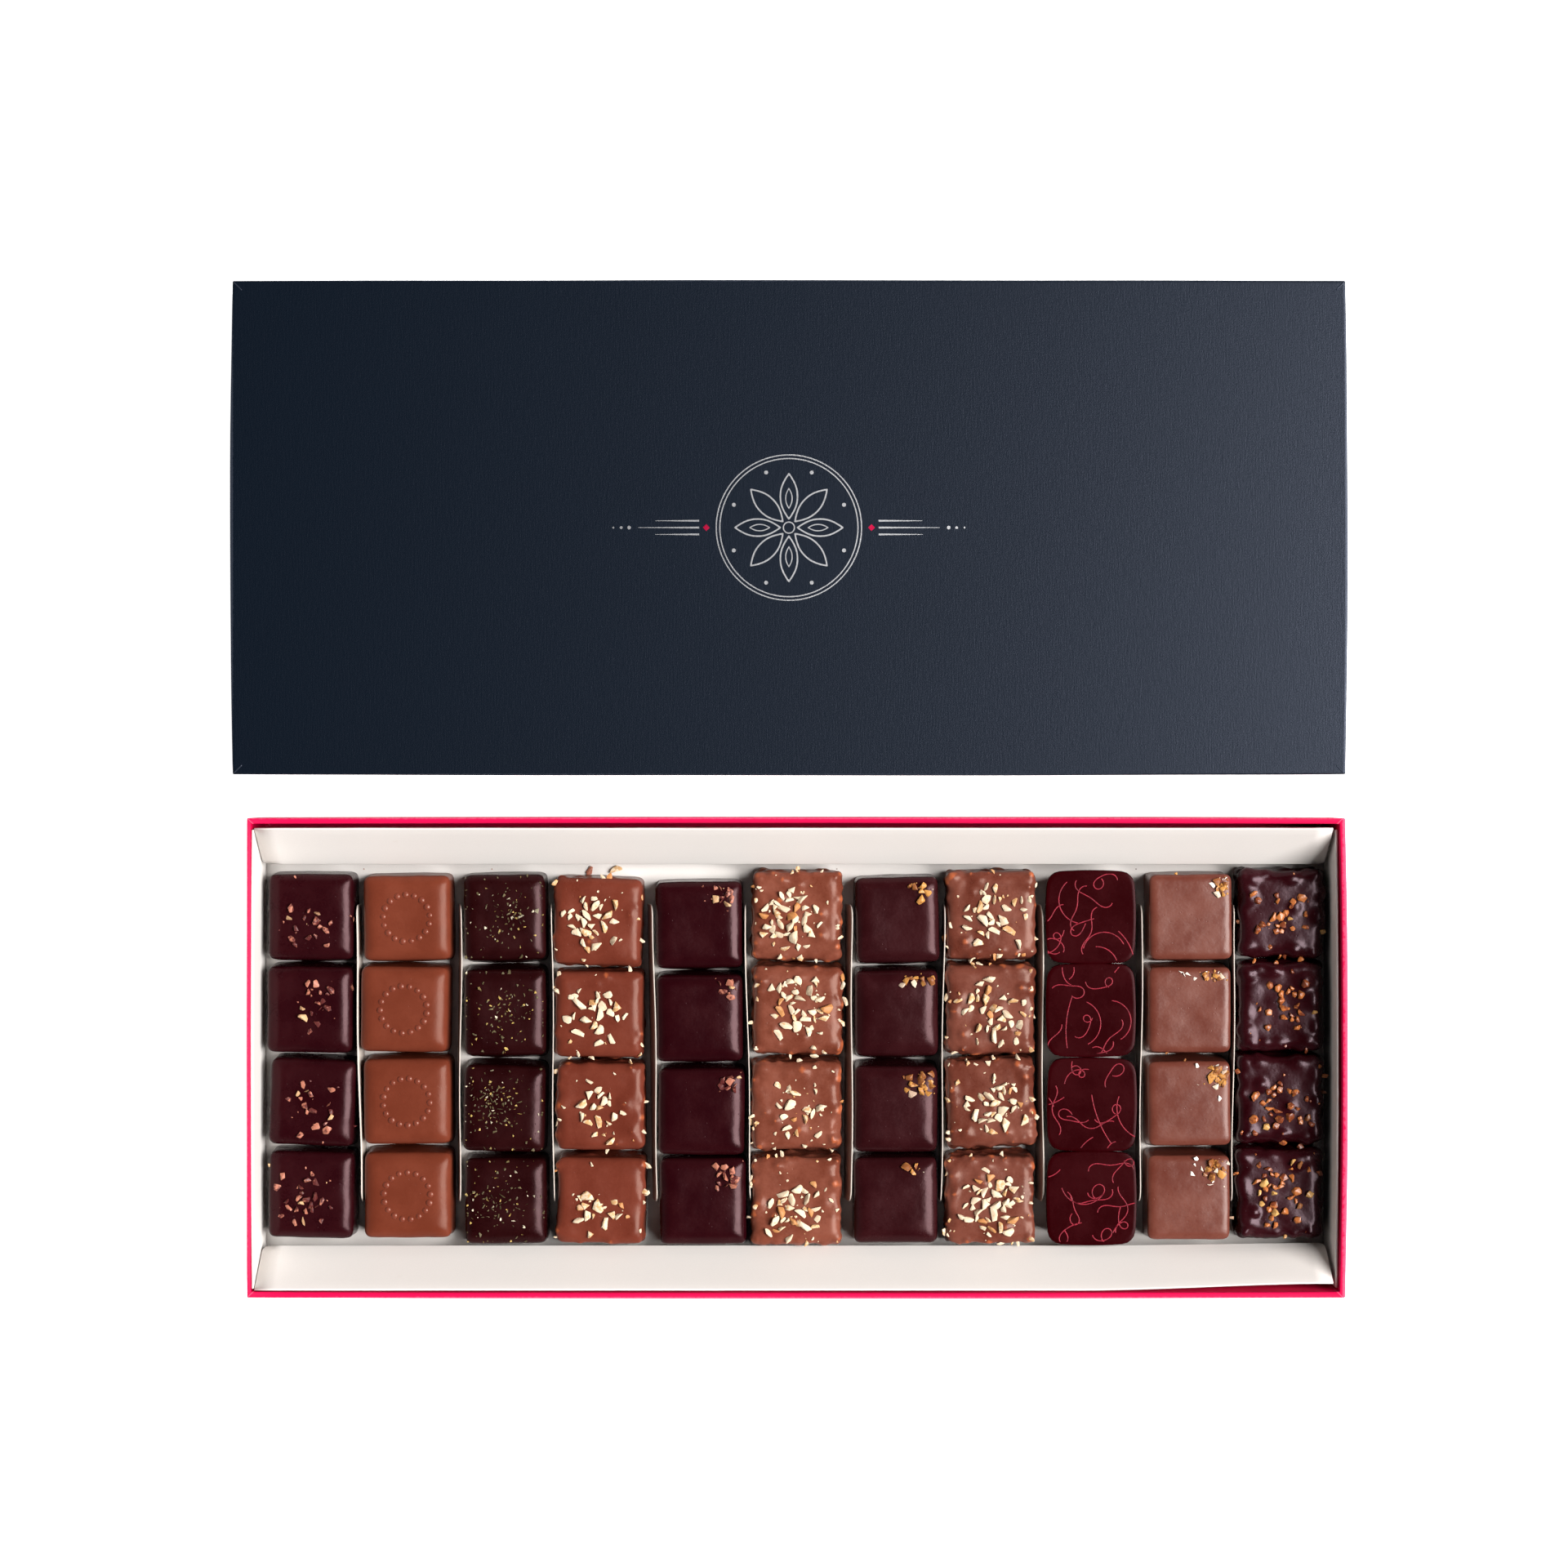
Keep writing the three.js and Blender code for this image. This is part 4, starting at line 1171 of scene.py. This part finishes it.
# The toppings, one mesh for each kind. A few bits have fallen on the card behind the first row.
CARD_TOP = floor_z + CARD / 2
chopped_nuts.add(Vector((-50.8, 51.4, CARD_TOP + 0.7)), 4.8, 3.2, 1.9, 0.6, 0.1)
cocoa_nibs.add(Vector((-58.5, 51.2, CARD_TOP + 0.5)), 3.4, 2.4, 1.5, 1.2, 0.1)
for x in (-123.1, -86.5, 12.0, 97.5):
    cocoa_nibs.add(Vector((x, 51.9, CARD_TOP + 0.1)), 0.6, 0.5, 0.4, x, 0)
for topping, slot, name, flesh, skin, darkest, share, roughness, specular in (
    (cocoa_nibs, "cocoa_nibs", "cocoa nib", (178, 112, 90), (84, 32, 30), (206, 166, 122), 0.4, 0.42, 0.35),
    (herb_flecks, "herb_flecks", "dried herb", (190, 160, 84), (84, 74, 48), (220, 208, 182),
     0.22, 0.6, 0.35),
    (chopped_nuts, "chopped_nuts", "nut flesh", (220, 201, 174), (198, 154, 104), (180, 118, 66),
     0.54, 0.5, 0.35),
    (white_slivers, "chopped_nuts", "white sliver", (228, 216, 206), (204, 184, 166), (240, 234, 228),
     0.5, 0.5, 0.35),
    (golden_brittle, "golden_brittle", "brittle", (196, 138, 70), (130, 76, 38), (224, 206, 184),
     0.4, 0.4, 0.35),
    (caramel_nuts, "caramel_nuts", "caramel", (178, 104, 52), (112, 52, 26), (206, 160, 92), 0.42, 0.3, 0.5),
):
    colours = (srgb(*colour) for colour in (flesh, skin, darkest))
    topping.finish(topping_finish(name, *colours, share, roughness, specular), slot)

# The place where the box stands: a plain white floor, one large soft lamp to the right and a little to the
# front, a pale sky, and a camera that looks straight down.
CAMERA_PLACE = (-3.07, 76.2, 950.0)
LENS = 76.1
LAMP_TURN = math.radians(-1.2)
LAMP_RISE = math.radians(53)
LAMP_AWAY = 6000.0
LAMP_SIZE = (3.4, 3.8)
LAMP_POWER = 860
WALL_LIGHT = (0.11, 0.112, 0.115)
CEILING_LIGHT = (0.02, 0.02, 0.022)
LEFT_LIGHT = (0.36, 0.35, 0.34)  # the light that white walls throw back from the left, low down

floor_shape = bmesh.new()
bmesh.ops.create_grid(floor_shape, x_segments=1, y_segments=1, size=3)
floor_mesh = bpy.data.meshes.new("floor")
floor_shape.to_mesh(floor_mesh)
floor_shape.free()
floor_finish, _, floor_shader, _ = finish_for("white table", 0.9, 0.1)
floor_shader.inputs["Base Color"].default_value = (0.96, 0.96, 0.96, 1)
floor_shader.inputs["Emission Color"].default_value = (1, 1, 1, 1)
floor_shader.inputs["Emission Strength"].default_value = 0.95
floor_mesh.materials.append(floor_finish)
floor = bpy.data.objects.new("floor", floor_mesh)
bpy.context.scene.collection.objects.link(floor)

lamp = bpy.data.lights.new("soft lamp", "AREA")
lamp.shape = "RECTANGLE"
lamp.size, lamp.size_y = LAMP_SIZE
lamp.energy = LAMP_POWER
lamp.color = (1.0, 0.985, 0.965)
lamp_object = bpy.data.objects.new("soft lamp", lamp)
level = math.cos(LAMP_RISE)
aim = Vector((math.cos(LAMP_TURN) * level, math.sin(LAMP_TURN) * level, math.sin(LAMP_RISE)))
lamp_object.location = Vector((0, 60, 0)) * MM + aim * LAMP_AWAY * MM
lamp_object.rotation_euler = aim.to_track_quat("Z", "Y").to_euler()
bpy.context.scene.collection.objects.link(lamp_object)

world = bpy.data.worlds.new("pale room")
world.use_nodes = True
sky = world.node_tree
direction = node(sky, "ShaderNodeTexCoord").outputs["Generated"]
facing = node(sky, "ShaderNodeSeparateXYZ", {0: direction}).outputs
walls = mix_colour(sky, smooth_step(sky, facing["X"], -0.2, -0.7), (*WALL_LIGHT, 1), (*LEFT_LIGHT, 1))
walls = mix_colour(sky, smooth_step(sky, facing["Z"], 0.45, 0.9), walls, (*CEILING_LIGHT, 1))
sky.links.new(walls, sky.nodes["Background"].inputs["Color"])
bpy.context.scene.world = world
bpy.context.scene.view_settings.view_transform = "Standard"

camera = bpy.data.cameras.new("camera")
camera.lens = LENS
camera.sensor_width = 36
camera.clip_end = 10
camera_object = bpy.data.objects.new("camera", camera)
camera_object.location = Vector(CAMERA_PLACE) * MM
bpy.context.scene.collection.objects.link(camera_object)
bpy.context.scene.camera = camera_object
